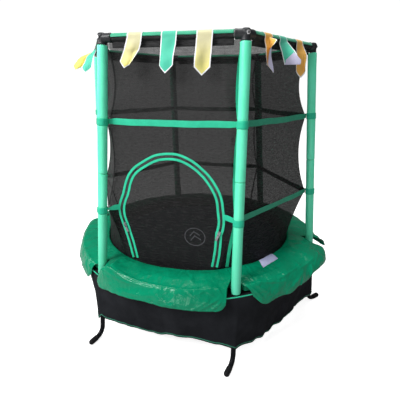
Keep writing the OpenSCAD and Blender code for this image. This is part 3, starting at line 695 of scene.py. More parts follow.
# the doorway's outline, as an offset o from the zip line; t from 0 (right foot) over the top to 1 (left foot)
def wobble(a):
    """The hand-sewn zip line isn't a true arc: how far it stands out at angle a (degrees, 0 = right, 90 = top)."""
    pts = [(-40, 0), (-24, 0), (-14, -.002), (4, -.014), (20, -.009), (33, -.010), (46, -.007), (60, -.002), (72, .004), (82, .009), (94, .005), (104, .004),
           (114, -.003), (124, -.004), (134, -.002), (146, -.010), (158, -.021), (168, -.018), (176, -.007), (184, .000), (192, .000), (202, 0), (220, 0)]
    xp, fp = np.array(pts).T
    a = np.asarray(a, float)
    ks = np.linspace(-6, 6, 9)
    return sum(np.interp(a + k, xp, fp) for k in ks) / 9


def arch(o, n_leg=16, n_arc=90, zb=DOOR_Z):
    """Points (x, z) on the door plane along the zip line at offset o, from the right foot over the top to the left foot."""
    a = np.linspace(-ARCH_A, pi + ARCH_A, n_arc)
    r = DOOR_R + o + wobble(np.degrees(a))
    ax, az = DOOR_CX + r * np.cos(a), DOOR_CZ + r * np.sin(a)
    s = np.linspace(0, 1, n_leg)[:-1]
    rx, rz = DOOR_CX + DOOR_BR + o, zb
    lx, lz = DOOR_CX - DOOR_BL - o, zb
    bend = .004 * np.sin(s * pi)
    x = np.r_[rx + (ax[0] - rx) * s + bend, ax, ax[-1] + (lx - ax[-1]) * (s + s[1]) + .003 * np.sin((s + s[1]) * pi)]
    z = np.r_[rz + (az[0] - rz) * s, az, az[-1] + (lz - az[-1]) * (s + s[1])]
    return x, z


def on_door(x, z, y=DOOR_Y):
    X, Y = turn(DOOR_TURN, np.asarray(x, float), -np.asarray(y, float) + 0 * np.asarray(x, float))
    return np.stack([X, Y, np.asarray(z, float) + 0 * X], -1)


# front net: a band of rows from the doorway's edge to the panel's border, and a strip under the doorway
ax_, az_ = arch(.0006)
q_in = 1 + 2 * (ax_ / xs(np.minimum(az_, TIE2)) + 1)
n_arch = len(ax_)
z_lo = NET_Z0
# border points: up the right edge, along the top, down the left edge, shared out evenly over the doorway's points
ang = np.arctan2(az_ - .70, ax_ - DOOR_CX)
ang[:16] = np.where(ang[:16] < -pi / 2, ang[:16] + 2 * pi, ang[:16])
ang = np.where(ang < -pi / 2, ang + 2 * pi, ang)
s_arch = np.linspace(0, 1, n_arch)
right_n, top_n, left_n = .34, .32, .34
qb, zb_ = np.zeros(n_arch), np.zeros(n_arch)
for i, s in enumerate(s_arch):
    if s < right_n:
        qb[i], zb_[i] = 6, DOOR_Z + (NET_Z1 - DOOR_Z) * s / right_n
    elif s < right_n + top_n:
        qb[i], zb_[i] = 6 - 6 * (s - right_n) / top_n, NET_Z1
    else:
        qb[i], zb_[i] = 0, NET_Z1 - (NET_Z1 - DOOR_Z) * (s - right_n - top_n) / left_n
qb[-1], zb_[-1] = 0, DOOR_Z
rows = np.r_[0, .02, np.linspace(.06, 1, 34)]
Q = q_in[None] + (qb - q_in)[None] * rows[:, None]
Zf = az_[None] + (zb_ - az_)[None] * rows[:, None]
fx, fy = front(np.clip(Q, 0, 6), Zf)
nf_x, nf_y = sin(DOOR_TURN), -cos(DOOR_TURN)
uu_ = Q / 6
rip = (net_ripple(4, uu_, Zf, .6) * np.minimum(1, rows[:, None] * 3)) + .0008
P = np.stack([fx + nf_x * rip, fy + nf_y * rip, Zf], -1)
g = Geo().grid(P, fx, Zf, flip=True)
qs, zs_ = np.linspace(0, 6, 61), np.linspace(NET_Z0, DOOR_Z, 6)
qlo = np.unique(np.r_[qs, q_in[0], q_in[-1]])
QQ, ZZ = np.meshgrid(qlo, zs_)
lx_, ly_ = front(QQ, ZZ)
g.grid(np.stack([lx_ + nf_x * .0008, ly_ + nf_y * .0008, ZZ], -1), lx_, ZZ)
Qt, Zt = np.meshgrid(np.linspace(0, 6, 91), np.linspace(0, 1, 6))
Zt = NET_Z1 + (RAIL_Z - .0178 + .0130 * (1 - smooth(np.minimum(Qt, 6 - Qt) / .42)) - NET_Z1) * Zt
xt, yt = front(Qt, NET_Z1 + 0 * Zt)
inn = -.0030 * smooth((Zt - NET_Z1) / .010) + .0008
g.grid(np.stack([xt + nf_x * inn, yt + nf_y * inn, Zt], -1), xt, Zt)
ob = make("net_front_sheet", g, M_NET, rep=["net_front"], closed=False)

# door flap: rows across the doorway
fx_in, fz_in = arch(-.0008)
half = n_arch // 2
m_flap = 30
L = np.stack([fx_in[::-1][:half + 1], fz_in[::-1][:half + 1]], -1)
R = np.stack([fx_in[:half + 1], fz_in[:half + 1]], -1)
n_rows = min(len(L), len(R))
w_ = np.linspace(0, 1, m_flap)
FX = L[:n_rows, None, 0] * (1 - w_) + R[:n_rows, None, 0] * w_
FZ = L[:n_rows, None, 1] * (1 - w_) + R[:n_rows, None, 1] * w_
edge_d = np.minimum(1, np.minimum(w_[None], 1 - w_[None]) / .12) * np.ones_like(FX)
dent = (wave_noise(FX * 9 + 3, FZ * 7, 51) * .0040 + wave_noise(FX * 3, FZ * 26, 53) * .0010) * edge_d
P = on_door(FX, FZ, DOOR_Y + .0008)
P = P + np.stack([nf_x * dent * .5, nf_y * dent * .5, 0 * dent], -1)
ob = make("door_flap_sheet", Geo().grid(P, FX, FZ), M_NET, body="door", rep=["door_flap"], closed=False)


# tapes and zip halves along the doorway
def arch_ribbon(o, width, thick, y, lift=.0, wav=.0, zb=DOOR_Z, seed=1, foot=0.):
    x, z = arch(o, 24, 120, zb)
    n = len(x)
    t = np.gradient(np.stack([x, z], -1), axis=0)
    t /= np.linalg.norm(t, axis=1)[:, None]
    nrm = np.stack([t[:, 1], -t[:, 0]], -1)
    s = np.r_[0, np.cumsum(np.hypot(np.diff(x), np.diff(z)))]
    wv = wave_noise(s * 17, s * 0 + 2.5, seed) * wav + wave_noise(s * 55, s * 0 + .5, seed + 1) * wav * .4
    x, z = x + nrm[:, 0] * wv * .6, z + nrm[:, 1] * wv * .6
    dy = np.abs(wave_noise(s * 30, s * 0 + 5.5, seed + 2)) * lift
    C = on_door(x, z, y + thick / 2 + dy)
    W = np.stack([nrm[:, 0] * cos(DOOR_TURN), nrm[:, 0] * sin(DOOR_TURN), nrm[:, 1]], -1)
    Nn = np.tile([nf_x, nf_y, 0.], (n, 1)) + W * (wave_noise(s * 23, s * 0 + 8.5, seed + 3) * .25)[:, None]
    return C, W, Nn / np.linalg.norm(Nn, axis=1)[:, None]


C, W, Nn = arch_ribbon(.012, .0, .0015, Y_TAPE, .0012, .0016, seed=61)
g = Geo().ribbon(C, W, Nn, .0112, .0014, m=4)
ob = make("door_tape_outer", g, M_TAPE, rep=["door_tape_frame"])
C, W, Nn = arch_ribbon(-.012, .0, .0015, Y_TAPE, .0012, .0018, seed=71)
g = Geo().ribbon(C, W, Nn, .0112, .0014, m=4)
ob = make("door_tape_inner", g, M_TAPE, body="door", rep=["door_tape_flap"])


def zip_half(o_tape, o_teeth, side):
    """Zip tape with its row of coil teeth."""
    C, W, Nn = arch_ribbon(o_tape, .0, .0008, Y_TAPE, 0, .0)
    g = Geo().ribbon(C, W, Nn, .0056, .0008, m=2)
    C, W, Nn = arch_ribbon(o_teeth, .0, .0018, Y_TAPE, 0, .0)
    d = np.r_[0, np.cumsum(np.linalg.norm(np.diff(C, axis=0), axis=1))]
    n = int(d[-1] / .0034)
    s = (np.arange(n) + (.5 if side > 0 else 0)) * .0034 + .0008
    c = np.stack([np.interp(s, d, C[:, i]) for i in range(3)], -1)
    w = np.stack([np.interp(s, d, W[:, i]) for i in range(3)], -1)
    nn = np.array([nf_x, nf_y, 0.])
    t = np.cross(w, nn)
    hw, hl, ht = .0014, .0011, .0009
    corners = np.array([(a, b, e) for e in (-1, 1) for a, b in ((-1, -1), (1, -1), (1, 1), (-1, 1))], float)
    sc = np.where(corners[:, 2:] > 0, .62, 1.)
    V = c[:, None] + w[:, None] * (corners[:, 0:1] * hw)[None] * sc[None] + t[:, None] * (corners[:, 1:2] * hl)[None] * sc[None] + nn[None, None] * (corners[:, 2:] * ht)[None]
    F = np.array([(0, 3, 2, 1), (4, 5, 6, 7), (0, 1, 5, 4), (1, 2, 6, 5), (2, 3, 7, 6), (3, 0, 4, 7)])
    idx = (F[None] + 8 * np.arange(n)[:, None, None]).reshape(-1, 4)
    g.v.append(V.reshape(-1, 3))
    g.q.append(idx + g.n)
    g.uv.append(np.zeros((len(idx), 4, 2)))
    g.n += 8 * n
    return g


ob = make("zip_chain_outer", zip_half(.0042, .0018, 1), M_ZIP, rep=["zip_teeth_frame"], smooth_angle=30)
ob = make("zip_chain_inner", zip_half(-.0042, -.0018, -1), M_ZIP, body="door", rep=["zip_teeth_flap"], smooth_angle=30)

# ------------------------------------------------------------------ seam tapes on the net's corners
g, g2 = Geo(), Geo()
for k in range(6):
    for a, b, n in ((.446, TIE1 - .017, 26), (TIE1 + .017, TIE2 - .017, 36), (TIE2 + .017, NET_Z1, 30)):
        z = np.linspace(a, b, n)
        an = radians(60 * k) + ph(z)
        wv = wave_noise(z * 14, z * 0 + k * 3.5, 81) * .0012
        r = rc(z) + (.0030 if k == 5 else .0012)
        er = np.stack([np.cos(an), np.sin(an), 0 * an], -1)
        et = np.stack([-np.sin(an), np.cos(an), 0 * an], -1)
        C = er * r[:, None] + et * wv[:, None]
        C[:, 2] = z
        T = np.gradient(C, axis=0)
        T /= np.linalg.norm(T, axis=1)[:, None]
        W = et + er * (wave_noise(z * 9, z * 0 + k + .5, 83) * .12)[:, None]
        W /= np.linalg.norm(W, axis=1)[:, None]
        Nn = np.cross(W, T)
        Nn /= np.linalg.norm(Nn, axis=1)[:, None]
        (g if k == 5 else g2).ribbon(C, W, Nn, .0165 if k == 5 else .0100, .0012, m=4)
make("seam_tape_green", g, M_TAPE, rep=["seam_tapes"])
make("seam_tape_dark", g2, M_NETHEM, rep=["seam_tapes"])

# ------------------------------------------------------------------ straps and their loops


def face_strap(g, k, z, rt, seed):
    y1 = rt * cos(pi / 6) + .0062
    half = rp(z) / 2 - sqrt((LOOP_O + .0004) ** 2 - (rp(z) * cos(pi / 6) - y1) ** 2)
    a = radians(60 * k + 30) + ph(z)
    out, side = np.array([cos(a), sin(a), 0]), np.array([-sin(a), cos(a), 0])
    s = np.linspace(-half, half, 90)
    e = np.minimum(1, (half - np.abs(s)) / .05)
    e = smooth(e)
    sag = -.0035 * (1 - (s / half) ** 2) + wave_noise(s * 11 + k * 5, s * 0 + .5, seed) * .0022 * e
    inn = -.0014 + wave_noise(s * 16 + k * 7, s * 0 + 4.5, seed + 1) * .0007 * e
    C = out * (y1 - .0006 + inn)[:, None] + side * s[:, None]
    C[:, 2] = z + sag
    tw = wave_noise(s * 14 + k * 3, s * 0 + 9.5, seed + 2) * .10 * e
    W = np.array([0, 0, 1.]) + out * tw[:, None]
    W /= np.linalg.norm(W, axis=1)[:, None]
    Nn = out - W * (W @ out)[:, None]
    Nn /= np.linalg.norm(Nn, axis=1)[:, None]
    width = .0285 + wave_noise(s * 9 + k, s * 0 + 6.5, seed + 3) * .0018 * e - .006 * (1 - e)
    g.ribbon(C, W, Nn, width, .0011, m=8)


g, g2 = Geo(), Geo()
for k in range(6):
    face_strap(g2 if k == 5 else g, k, TIE2, RT2, 91)
make("upper_strap_webbing", g, M_STRAP, rep=["upper_straps"])
# painted shade: a darker copy of the strap green for the front-right straps, standing in for the shade on the side
# turned away from the key light
M_STRAP_PAINTED_SHADE = mat_tape("strap_green_painted_shade", (.006, .330, .190), (.003, .190, .108), .0026, rough=.62, sheen=.1)
make("upper_strap_webbing_right", g2, M_STRAP_PAINTED_SHADE, rep=["upper_straps"])
# painted shade: the lower straps on the back-right and back-left sides get a near-black copy of the strap material,
# standing in for the shade they lie in
g = Geo()
for k in (0, 2):
    face_strap(g, k, TIE1, RT1, 101)
make("lower_strap_webbing_painted_shade", g, mat_tape("strap_black_painted_shade", (.012, .030, .024), (.006, .014, .011), .0026, rough=.7, sheen=.05), rep=["lower_straps"])
g = Geo()
# the front-right lower strap takes the same painted-shade copy of the strap green
face_strap(g, 5, TIE1, RT1, 101)
make("lower_strap_webbing_right", g, M_STRAP_PAINTED_SHADE, rep=["lower_straps"])
g = Geo()
for k in (1, 3):
    face_strap(g, k, TIE1, RT1, 101)
for sd in (-1, 1):
    qx, qy = turn(DOOR_TURN, DOOR_CX + sd * (DOOR_R + .004), -DOOR_Y - .0055)
    a = radians(240 if sd < 0 else 300) + ph(TIE1)
    c = np.array([rp(TIE1) * cos(a), rp(TIE1) * sin(a)])
    q = np.array([float(qx), float(qy)])
    d = (q - c) / np.linalg.norm(q - c)
    p0 = c + d * (LOOP_O + .0004)
    t = np.linspace(0, 1, 24)
    C = np.zeros((24, 3))
    C[:, :2] = p0 + (q - p0) * t[:, None]
    C[:, 2] = TIE1 + .003 * np.sin(t * pi) + (.004 if sd < 0 else -.003) * t
    nn = np.array([d[1], -d[0], 0]) * (1 if d[1] * 0 - d[0] * -1 > 0 else -1)
    nn = np.array([-d[1], d[0], 0])
    if nn[1] > 0:
        nn = -nn
    C = C + nn * (.0015 * np.sin(t * pi * 1.5))[:, None]
    width = .012 + .016 * smooth(t * 1.6) if sd < 0 else .024 + .004 * smooth(t * 2)
    g.ribbon(C, np.tile([0, 0, 1.], (24, 1)), np.tile(nn, (24, 1)), width, .0012, m=8)
make("lower_strap_webbing", g, M_STRAP, rep=["lower_straps"])

for z, node, seed in ((TIE2, "upper_strap_loops", 111), (TIE1, "lower_strap_loops", 121)):
    g = Geo()
    for k in range(6):
        o, ex, ey, ez = pole_frame(k)
        hgt = along(z)

        def wob(th, h, k=k):
            return wave_noise(th * 8 / (2 * pi), h * 90 + k * 5, seed + k, wrap_x=8) * .0005 + .0006 * (np.cos(th * 2 + k) > .2)

        w = STRAP_W / 2 + .0006
        ro, ri = LOOP_O, LOOP_I
        prof = [(ri, -w), (ri + .0012, -w - .0004), (ro, -w + .0008), (ro + .0003, -w + .006), (ro, -w / 3), (ro - .0002, w / 4), (ro + .0003, w - .006), (ro, w - .0008), (ri + .0012, w + .0004), (ri, w)]
        g.lathe(o + ez * hgt, ex, ey, ez, prof, 48, wob, closed=True)
        # sewn tail that lies over the loop, towards the middle of the trampoline
        a0 = pi + (.55 if k % 2 else -.5)
        th = np.linspace(a0 - .5, a0 + .5, 12)
        C = o + ez * hgt + (ro + .0012) * (np.cos(th)[:, None] * ex + np.sin(th)[:, None] * ey)
        Nn = np.cos(th)[:, None] * ex + np.sin(th)[:, None] * ey
        g.ribbon(C, np.tile(ez, (12, 1)), Nn, .026, .0012, m=6)
    make(node.replace("loops", "loop_webbing"), g, M_LOOP, rep=[node])

# ------------------------------------------------------------------ foam sleeves
def sleeve(name, node, z0, z1, seed, squeeze):
    g = Geo()
    for k in range(6):
        o, ex, ey, ez = pole_frame(k)
        a, b = along(z0), along(z1)
        hs = np.unique(np.r_[np.linspace(a + .003, b - .003, 110), [along(s) + d for s in squeeze for d in (-.03, -.022, -.016, -.010, 0, .010, .016, .022, .03)]])
        prof = [(TR + .0004, a + .0012), (TR + .003, a), (FOAM_R - .0025, a), (FOAM_R - .0006, a + .0008), (FOAM_R, a + .003)]
        prof += [(FOAM_R, h) for h in hs if a + .003 < h < b - .003]
        prof += [(FOAM_R, b - .003), (FOAM_R - .0006, b - .0008), (FOAM_R - .0025, b), (TR + .003, b), (TR + .0004, b - .0012)]

        def wob(th, h, k=k):
            d = wave_noise(th * 6 / (2 * pi), h * 6 + k * 9, seed, wrap_x=6) * .0005 + wave_noise(th * 9 / (2 * pi), h * 26 + k * 7, seed + 1, wrap_x=9) * .00028
            for s in squeeze:
                e = np.abs(h - along(s))
                d = d - .0009 * np.exp(-(np.maximum(e - .012, 0) / .006) ** 2) + .0004 * np.exp(-((e - .024) / .006) ** 2)
            # bending creases across the front
            for i in range(3):
                hc = a + (b - a) * (.2 + .27 * i + .06 * sin(k * 2.3 + i * 1.7 + seed))
                d = d - .0007 * np.exp(-((h - hc - .004 * np.sin(th + k)) / .0022) ** 2) * (np.cos(th - k * 1.3 - i) > -.2)
            return np.where(np.abs(h - (a + b) / 2) < (b - a) / 2 - .002, d, 0)
        g.lathe(o, ex, ey, ez, prof, 56, wob, closed=True)
    ob = make(name, g, M_FOAM, rep=[node])
    return ob


sleeve("lower_foam_sleeves", "lower_sleeves", RING_Z + .0205, JOINT_Z - .001, 131, [TIE1])
sleeve("upper_foam_sleeves", "upper_sleeves", JOINT_Z + .001, POLE_TOP - .004, 141, [TIE2])

# ------------------------------------------------------------------ top connectors: moulded, with rounded corners
def remeshed(geo, voxel, relax=4):
    """One closed skin round several overlapping closed bodies, with softened corners."""
    V, Q = np.concatenate(geo.v), np.concatenate(geo.q)
    me = bpy.data.meshes.new("tmp")
    me.from_pydata(V.tolist(), [], Q.tolist() + geo.caps)
    bm = bmesh.new()
    bm.from_mesh(me)
    bmesh.ops.recalc_face_normals(bm, faces=bm.faces)
    bm.to_mesh(me)
    bm.free()
    ob = bpy.data.objects.new("tmp", me)
    bpy.context.scene.collection.objects.link(ob)
    r = ob.modifiers.new("r", "REMESH")
    r.mode, r.voxel_size, r.use_smooth_shade = "VOXEL", voxel, True
    s = ob.modifiers.new("s", "SMOOTH")
    s.factor, s.iterations = .5, relax
    dg = bpy.context.evaluated_depsgraph_get()
    out = bpy.data.meshes.new_from_object(ob.evaluated_get(dg))
    bpy.data.objects.remove(ob)
    return out


X, Y, Zv = np.eye(3)
g = Geo()
o = np.array([0, 0, RAIL_Z])
h0 = POLE_TOP - 1e-3 - RAIL_Z
g.lathe(o, X, Y, Zv, [(.0200, h0), (.0200, h0 + .005), (.0192, h0 + .0065), (.0188, -.004), (.0190, .010), (.0190, .0125)], 56)
g.lathe(o, X, Y, Zv, [(.0165, .009), (.0172, .0135), (.0172, .0145), (.0168, .0155), (.0150, .0180), (.0118, .0200), (.0070, .0212), (.0012, .0214)], 56)
for a in (120, 240):
    d = np.array([cos(radians(a)), sin(radians(a)), 0])
    s2 = np.cross(Zv, d)
    g.lathe(o, s2, Zv, d, [(.0185, 0), (.0186, .034), (.0194, .0350), (.0194, .0435), (.0188, .0441)], 48)
    # stiffening rib under each arm
    g.lathe(o + np.array([0, 0, -.012]) + d * .010, s2, Zv, d, [(.0035, 0), (.0035, .030)], 16)
g.lathe(o + np.array([.010, 0, .003]), Y, Zv, X, [(.0088, 0), (.0088, .0090), (.0080, .0104)], 40)
elbow = remeshed(g, .00125, 5)
g = Geo()
co = np.array([v.co for v in elbow.vertices], float).reshape(-1, 3)
fl = [list(p.vertices) for p in elbow.polygons]
bpy.data.meshes.remove(elbow)
verts, faces = [], []
for k in range(6):
    a = radians(60 * k) + TWIST
    x, y = turn(a, co[:, 0] + TOP_R, co[:, 1])
    verts.append(np.stack([x, y, co[:, 2]], -1))
    faces += [[i + k * len(co) for i in f] for f in fl]
me = bpy.data.meshes.new("top_connectors")
me.from_pydata(np.concatenate(verts).tolist(), [], faces)
me.shade_smooth()
ob = bpy.data.objects.new("top_connectors", me)
bpy.context.scene.collection.objects.link(ob)
me.materials.append(M_ELBOW)
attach(ob, "frame")
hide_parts("top_elbows")


# ------------------------------------------------------------------ cloth tunnels and edging on the top rails
HEM_L = TOP_R - .092
g, gp = Geo(), Geo()
for k in range(6):
    o, out, side, up = rail_frame(k)
    y = np.linspace(-HEM_L / 2, HEM_L / 2, 90)
    a = np.radians(np.linspace(-96, -264, 26))
    prof = [(-.0014, -.040 + .0045 * i) for i in range(6)] + [(.0141 * cos(t), .0141 * sin(t)) for t in a[::-1]]
    prof = [(-.0016, z) for z in np.linspace(-.040, -.0155, 7)] + [(.0141 * cos(t), .0141 * sin(t)) for t in np.radians(np.linspace(264, -84, 40))] + [(.0016, z) for z in np.linspace(-.0155, -.040, 7)]
    prof = np.array(prof)
    n = len(prof)
    low = np.clip((-.012 - prof[:, 1]) / .012, 0, 1)[:, None]
    top = 1 - low
    rip = wave_noise(y[None] * 30 + 9 * k, prof[:, 1:2] * 60 + 3, 151) * .0008 * low + np.abs(wave_noise(y[None] * 70 + 5 * k, prof[:, :1] * 90, 153)) * .0006 * top
    rad = np.hypot(prof[:, 0], prof[:, 1])[:, None]
    O = prof[:, 0:1] + rip * np.where(top > .5, prof[:, :1] / rad, np.sign(prof[:, :1]) * 0 + 1) + 0 * y[None]
    Z = prof[:, 1:2] + rip * np.where(top > .5, prof[:, 1:2] / rad, 0) + 0 * y[None]
    P = o + O[..., None] * out + y[None, :, None] * side + Z[..., None] * up
    d = np.r_[0, np.cumsum(np.hypot(*np.diff(prof, axis=0).T))]
    g.grid(P, y[None], d[:, None])
    yy = np.linspace(-HEM_L / 2, HEM_L / 2, 120)
    th = np.radians(np.linspace(4, 164, 18))
    w = wave_noise(yy * 24 + 4 * k, yy * 0 + .5, 155) * .06
    R = .0166 + np.abs(wave_noise(yy[None] * 50, th[:, None] * 2, 157)) * .0005
    P = o + (R * np.cos(th[:, None] + w[None]))[..., None] * out + yy[None, :, None] * side + (R * np.sin(th[:, None] + w[None]))[..., None] * up
    gp.grid(P, (th * .0158)[:, None] + 0 * yy[None], yy[None] + 0 * th[:, None])
ob = make("rail_tunnels", g, M_NETHEM, rep=["rail_hems"], closed=False)
thicken(ob, .0008, 0)
ob = make("rail_edging", gp, M_PIPE, rep=["rail_piping"], closed=False)
thicken(ob, .0009, 0)

# ------------------------------------------------------------------ elastic cords, taut between ring and mat
for i in range(36):
    a = radians(10 * i + 5)
    d = np.array([cos(a), sin(a), 0])
    p0, p1 = d * .6872 + np.array([0, 0, .3655]), d * .5478 + np.array([0, 0, .3775])
    t = np.linspace(0, 1, 15)
    r = .0030 - .0004 * np.sin(t * pi) + .0004 * (np.abs(t - .9) < .05)
    ob = make("elastic_cord_%02d" % (i + 1), Geo().tube(p0 + (p1 - p0) * t[:, None], r, 12), M_CORD, rep=["elastic_cords"], ride=False)
    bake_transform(ob)


def cord_plain():
    m = Mat("cord_black_plain", rough=.66)
    n = m.noise(900, 2, .6)
    m.color(m.mix(m.rng(n, .35, .65, 0, 1), (.006, .006, .007), (.022, .022, .025)))
    m.bump(m.vor(1100), .0003, .5)
    return m.m


M_CORDPLAIN = cord_plain()
for name in ("net_ties", "pad_ties"):
    o = NODES[name]
    o.data.materials.clear()
    o.data.materials.append(M_CORDPLAIN)

# ------------------------------------------------------------------ edge pad
# fold of the cover on each side of the hexagon: angle, radius, height; then the lower edge of the flap
FOLD = {
    0: [(3.2, .712, .428), (8, .716, .430), (20, .713, .430), (40, .712, .428), (56.4, .712, .427)],
    1: [(63.4, .712, .427), (75, .712, .432), (90, .712, .427), (105, .712, .431), (116.6, .712, .427)],
    2: [(123.4, .712, .427), (140, .712, .431), (158, .713, .428), (170, .716, .432), (176.9, .716, .428)],
    3: [(183.2, .717, .430), (190, .716, .434), (200, .713, .430), (215, .712, .428), (228, .712, .432), (234, .713, .430), (237.2, .714, .424)],
    4: [(244.2, .716, .440), (245.6, .724, .456), (248.5, .725, .470), (252, .721, .460), (257, .715, .446), (264, .712, .438), (280, .712, .434), (290, .712, .430), (296.4, .706, .426)],
    5: [(302.9, .711, .427), (307, .712, .432), (312, .712, .427), (322, .712, .431), (330, .713, .432), (336, .716, .440), (340, .718, .452), (345, .718, .450), (352, .716, .437), (356.6, .713, .426)],
}
EDGE = {
    0: [(3.6, .790, .392), (5.0, .798, .362), (6.3, .797, .354), (8, .776, .357), (10.5, .752, .366), (16, .745, .352), (30, .747, .345), (45, .747, .338), (53, .746, .336), (54.6, .744, .344), (55.4, .735, .372)],
    1: [(64.6, .736, .372), (65.5, .744, .345), (70, .747, .338), (90, .748, .345), (110, .747, .338), (114.5, .744, .348), (115.3, .736, .372)],
    2: [(124.7, .736, .372), (125.5, .744, .346), (130, .747, .338), (145, .747, .345), (158, .748, .346), (166, .758, .352), (172, .772, .356), (176, .781, .362), (177.2, .776, .378)],
    3: [(183.2, .786, .376), (184.4, .790, .362), (186.5, .786, .359), (190, .776, .352), (194.2, .764, .352), (204.5, .747, .352), (211, .742, .350), (221, .741, .345), (226, .743, .338), (229.5, .746, .331), (231.9, .748, .329), (233.6, .746, .338), (235.6, .735, .366)],
    4: [(240.6, .738, .352), (242.3, .745, .334), (246.6, .747, .339), (253, .747, .352), (259.3, .747, .354), (265.6, .747, .359), (273.4, .747, .349), (281.6, .747, .342), (288.1, .747, .336), (292.4, .747, .333), (294.3, .746, .342), (295.2, .742, .362)],
    5: [(306.2, .729, .372), (309.6, .744, .330), (311.4, .746, .320), (314.1, .747, .327), (317, .748, .336), (320.5, .749, .334), (323.7, .751, .331), (327, .758, .352), (330.5, .765, .352), (334.1, .772, .352), (336.4, .780, .380), (340, .788, .388), (344.6, .795, .386), (348, .796, .382), (351, .790, .388), (354.5, .782, .396)],
}


def along_list(pts, u):
    """Rounded interpolation along a list of points; u from 0 to 1 is the share of the angle covered."""
    p = np.array(pts, float)
    t = (p[:, 0] - p[0, 0]) / (p[-1, 0] - p[0, 0])
    h = .010
    ks = np.array([-1, -.5, 0, .5, 1]) * h
    return [np.mean([np.interp(np.clip(u + k, 0, 1), t, p[:, i]) for k in ks], 0) if i else p[0, 0] + (p[-1, 0] - p[0, 0]) * u for i in range(3)]


def ridge(X, S, a, b, h, w, pw=.6):
    """Height of one crease that runs from a to b, each (angle in degrees, distance from the inner lip)."""
    ax, bx = .72 * radians(a[0]), .72 * radians(b[0])
    dx, ds = bx - ax, b[1] - a[1]
    t = np.clip(((X - ax) * dx + (S - a[1]) * ds) / (dx * dx + ds * ds), 0, 1)
    d = np.hypot(X - ax - t * dx, S - a[1] - t * ds)
    return h * np.exp(-(d / w) ** 2) * np.sin(pi * np.clip(t, .03, .97)) ** pw


CREASES = {
    4: [((247, .150), (276, .147), .0036, .0055), ((249, .170), (272, .166), .0032, .0060), ((246, .200), (262, .176), .0026, .006), ((244.6, .150), (246.5, .250), .0045, .006),
        ((281, .158), (284, .182), .0032, .0045), ((284, .182), (288, .160), .0030, .0045), ((288, .160), (291.5, .186), .0032, .0045),
        ((286, .250), (293, .196), .0040, .0055), ((289.5, .255), (294, .212), .0034, .005), ((283, .252), (290, .205), .0026, .006), ((292, .140), (294.5, .190), .0034, .005),
        ((255, .235), (268, .205), .0022, .008), ((270, .252), (279, .220), .0020, .008), ((262, .130), (268, .060), .0030, .009), ((284, .120), (280, .050), .0028, .009)],
    5: [((303.6, .150), (310, .240), .0045, .006), ((306, .150), (314, .232), .0034, .006), ((309, .150), (322, .190), .0036, .006), ((304, .120), (330, .105), .0026, .007),
        ((316, .165), (336, .150), .0036, .006), ((322, .235), (334, .180), .0036, .007), ((330, .165), (343, .200), .0046, .007), ((336, .150), (352, .142), .0050, .006), ((338, .215), (350, .185), .0040, .007),
        ((345, .160), (356, .205), .0036, .006), ((328, .255), (331, .200), .0040, .006), ((335, .250), (337, .190), .0050, .006), ((352, .170), (356, .235), .0036, .006), ((312, .255), (318, .215), .0026, .006)],
    3: [((184, .150), (188, .250), .0040, .006), ((188, .155), (200, .200), .0034, .007), ((226, .155), (234, .240), .0040, .006), ((229, .150), (236, .200), .0034, .005), ((222, .250), (230, .205), .0030, .006)],
    0: [((4, .150), (9, .250), .0040, .006), ((6, .150), (16, .220), .0034, .006)], 1: [], 2: [((170, .150), (176, .245), .0040, .006)],
}
for k in range(6):
    r_ = np.random.RandomState(200 + k)
    for i in range(30):
        th = 60 * k + r_.uniform(6, 54)
        s = r_.uniform(.150, .262)
        ln, an = r_.uniform(.014, .050), r_.choice([r_.uniform(-.5, .5), r_.uniform(.7, 2.4)])
        CREASES[k].append(((th, s), (th + np.degrees(ln * cos(an) / .72), s + ln * sin(an)), r_.choice([-1, 1]) * r_.uniform(.0008, .0022), r_.uniform(.003, .007)))
    for i in range(20):
        th = 60 * k + r_.uniform(5, 55)
        s = r_.uniform(.005, .05)
        CREASES[k].append(((th, s), (th + r_.uniform(-3, 3), s + r_.uniform(.05, .095)), r_.choice([-1, 1]) * r_.uniform(.0008, .0020), r_.uniform(.006, .012)))

APEX, R_LIP = .645, .570
LIP = [(.5665, .3955), (.5630, .405), (.5618, .417), (.5616, .429), (.5628, .4365), (.5655, .4415)]
N_COL, N_TOP, N_FLAP = 200, 30, 30


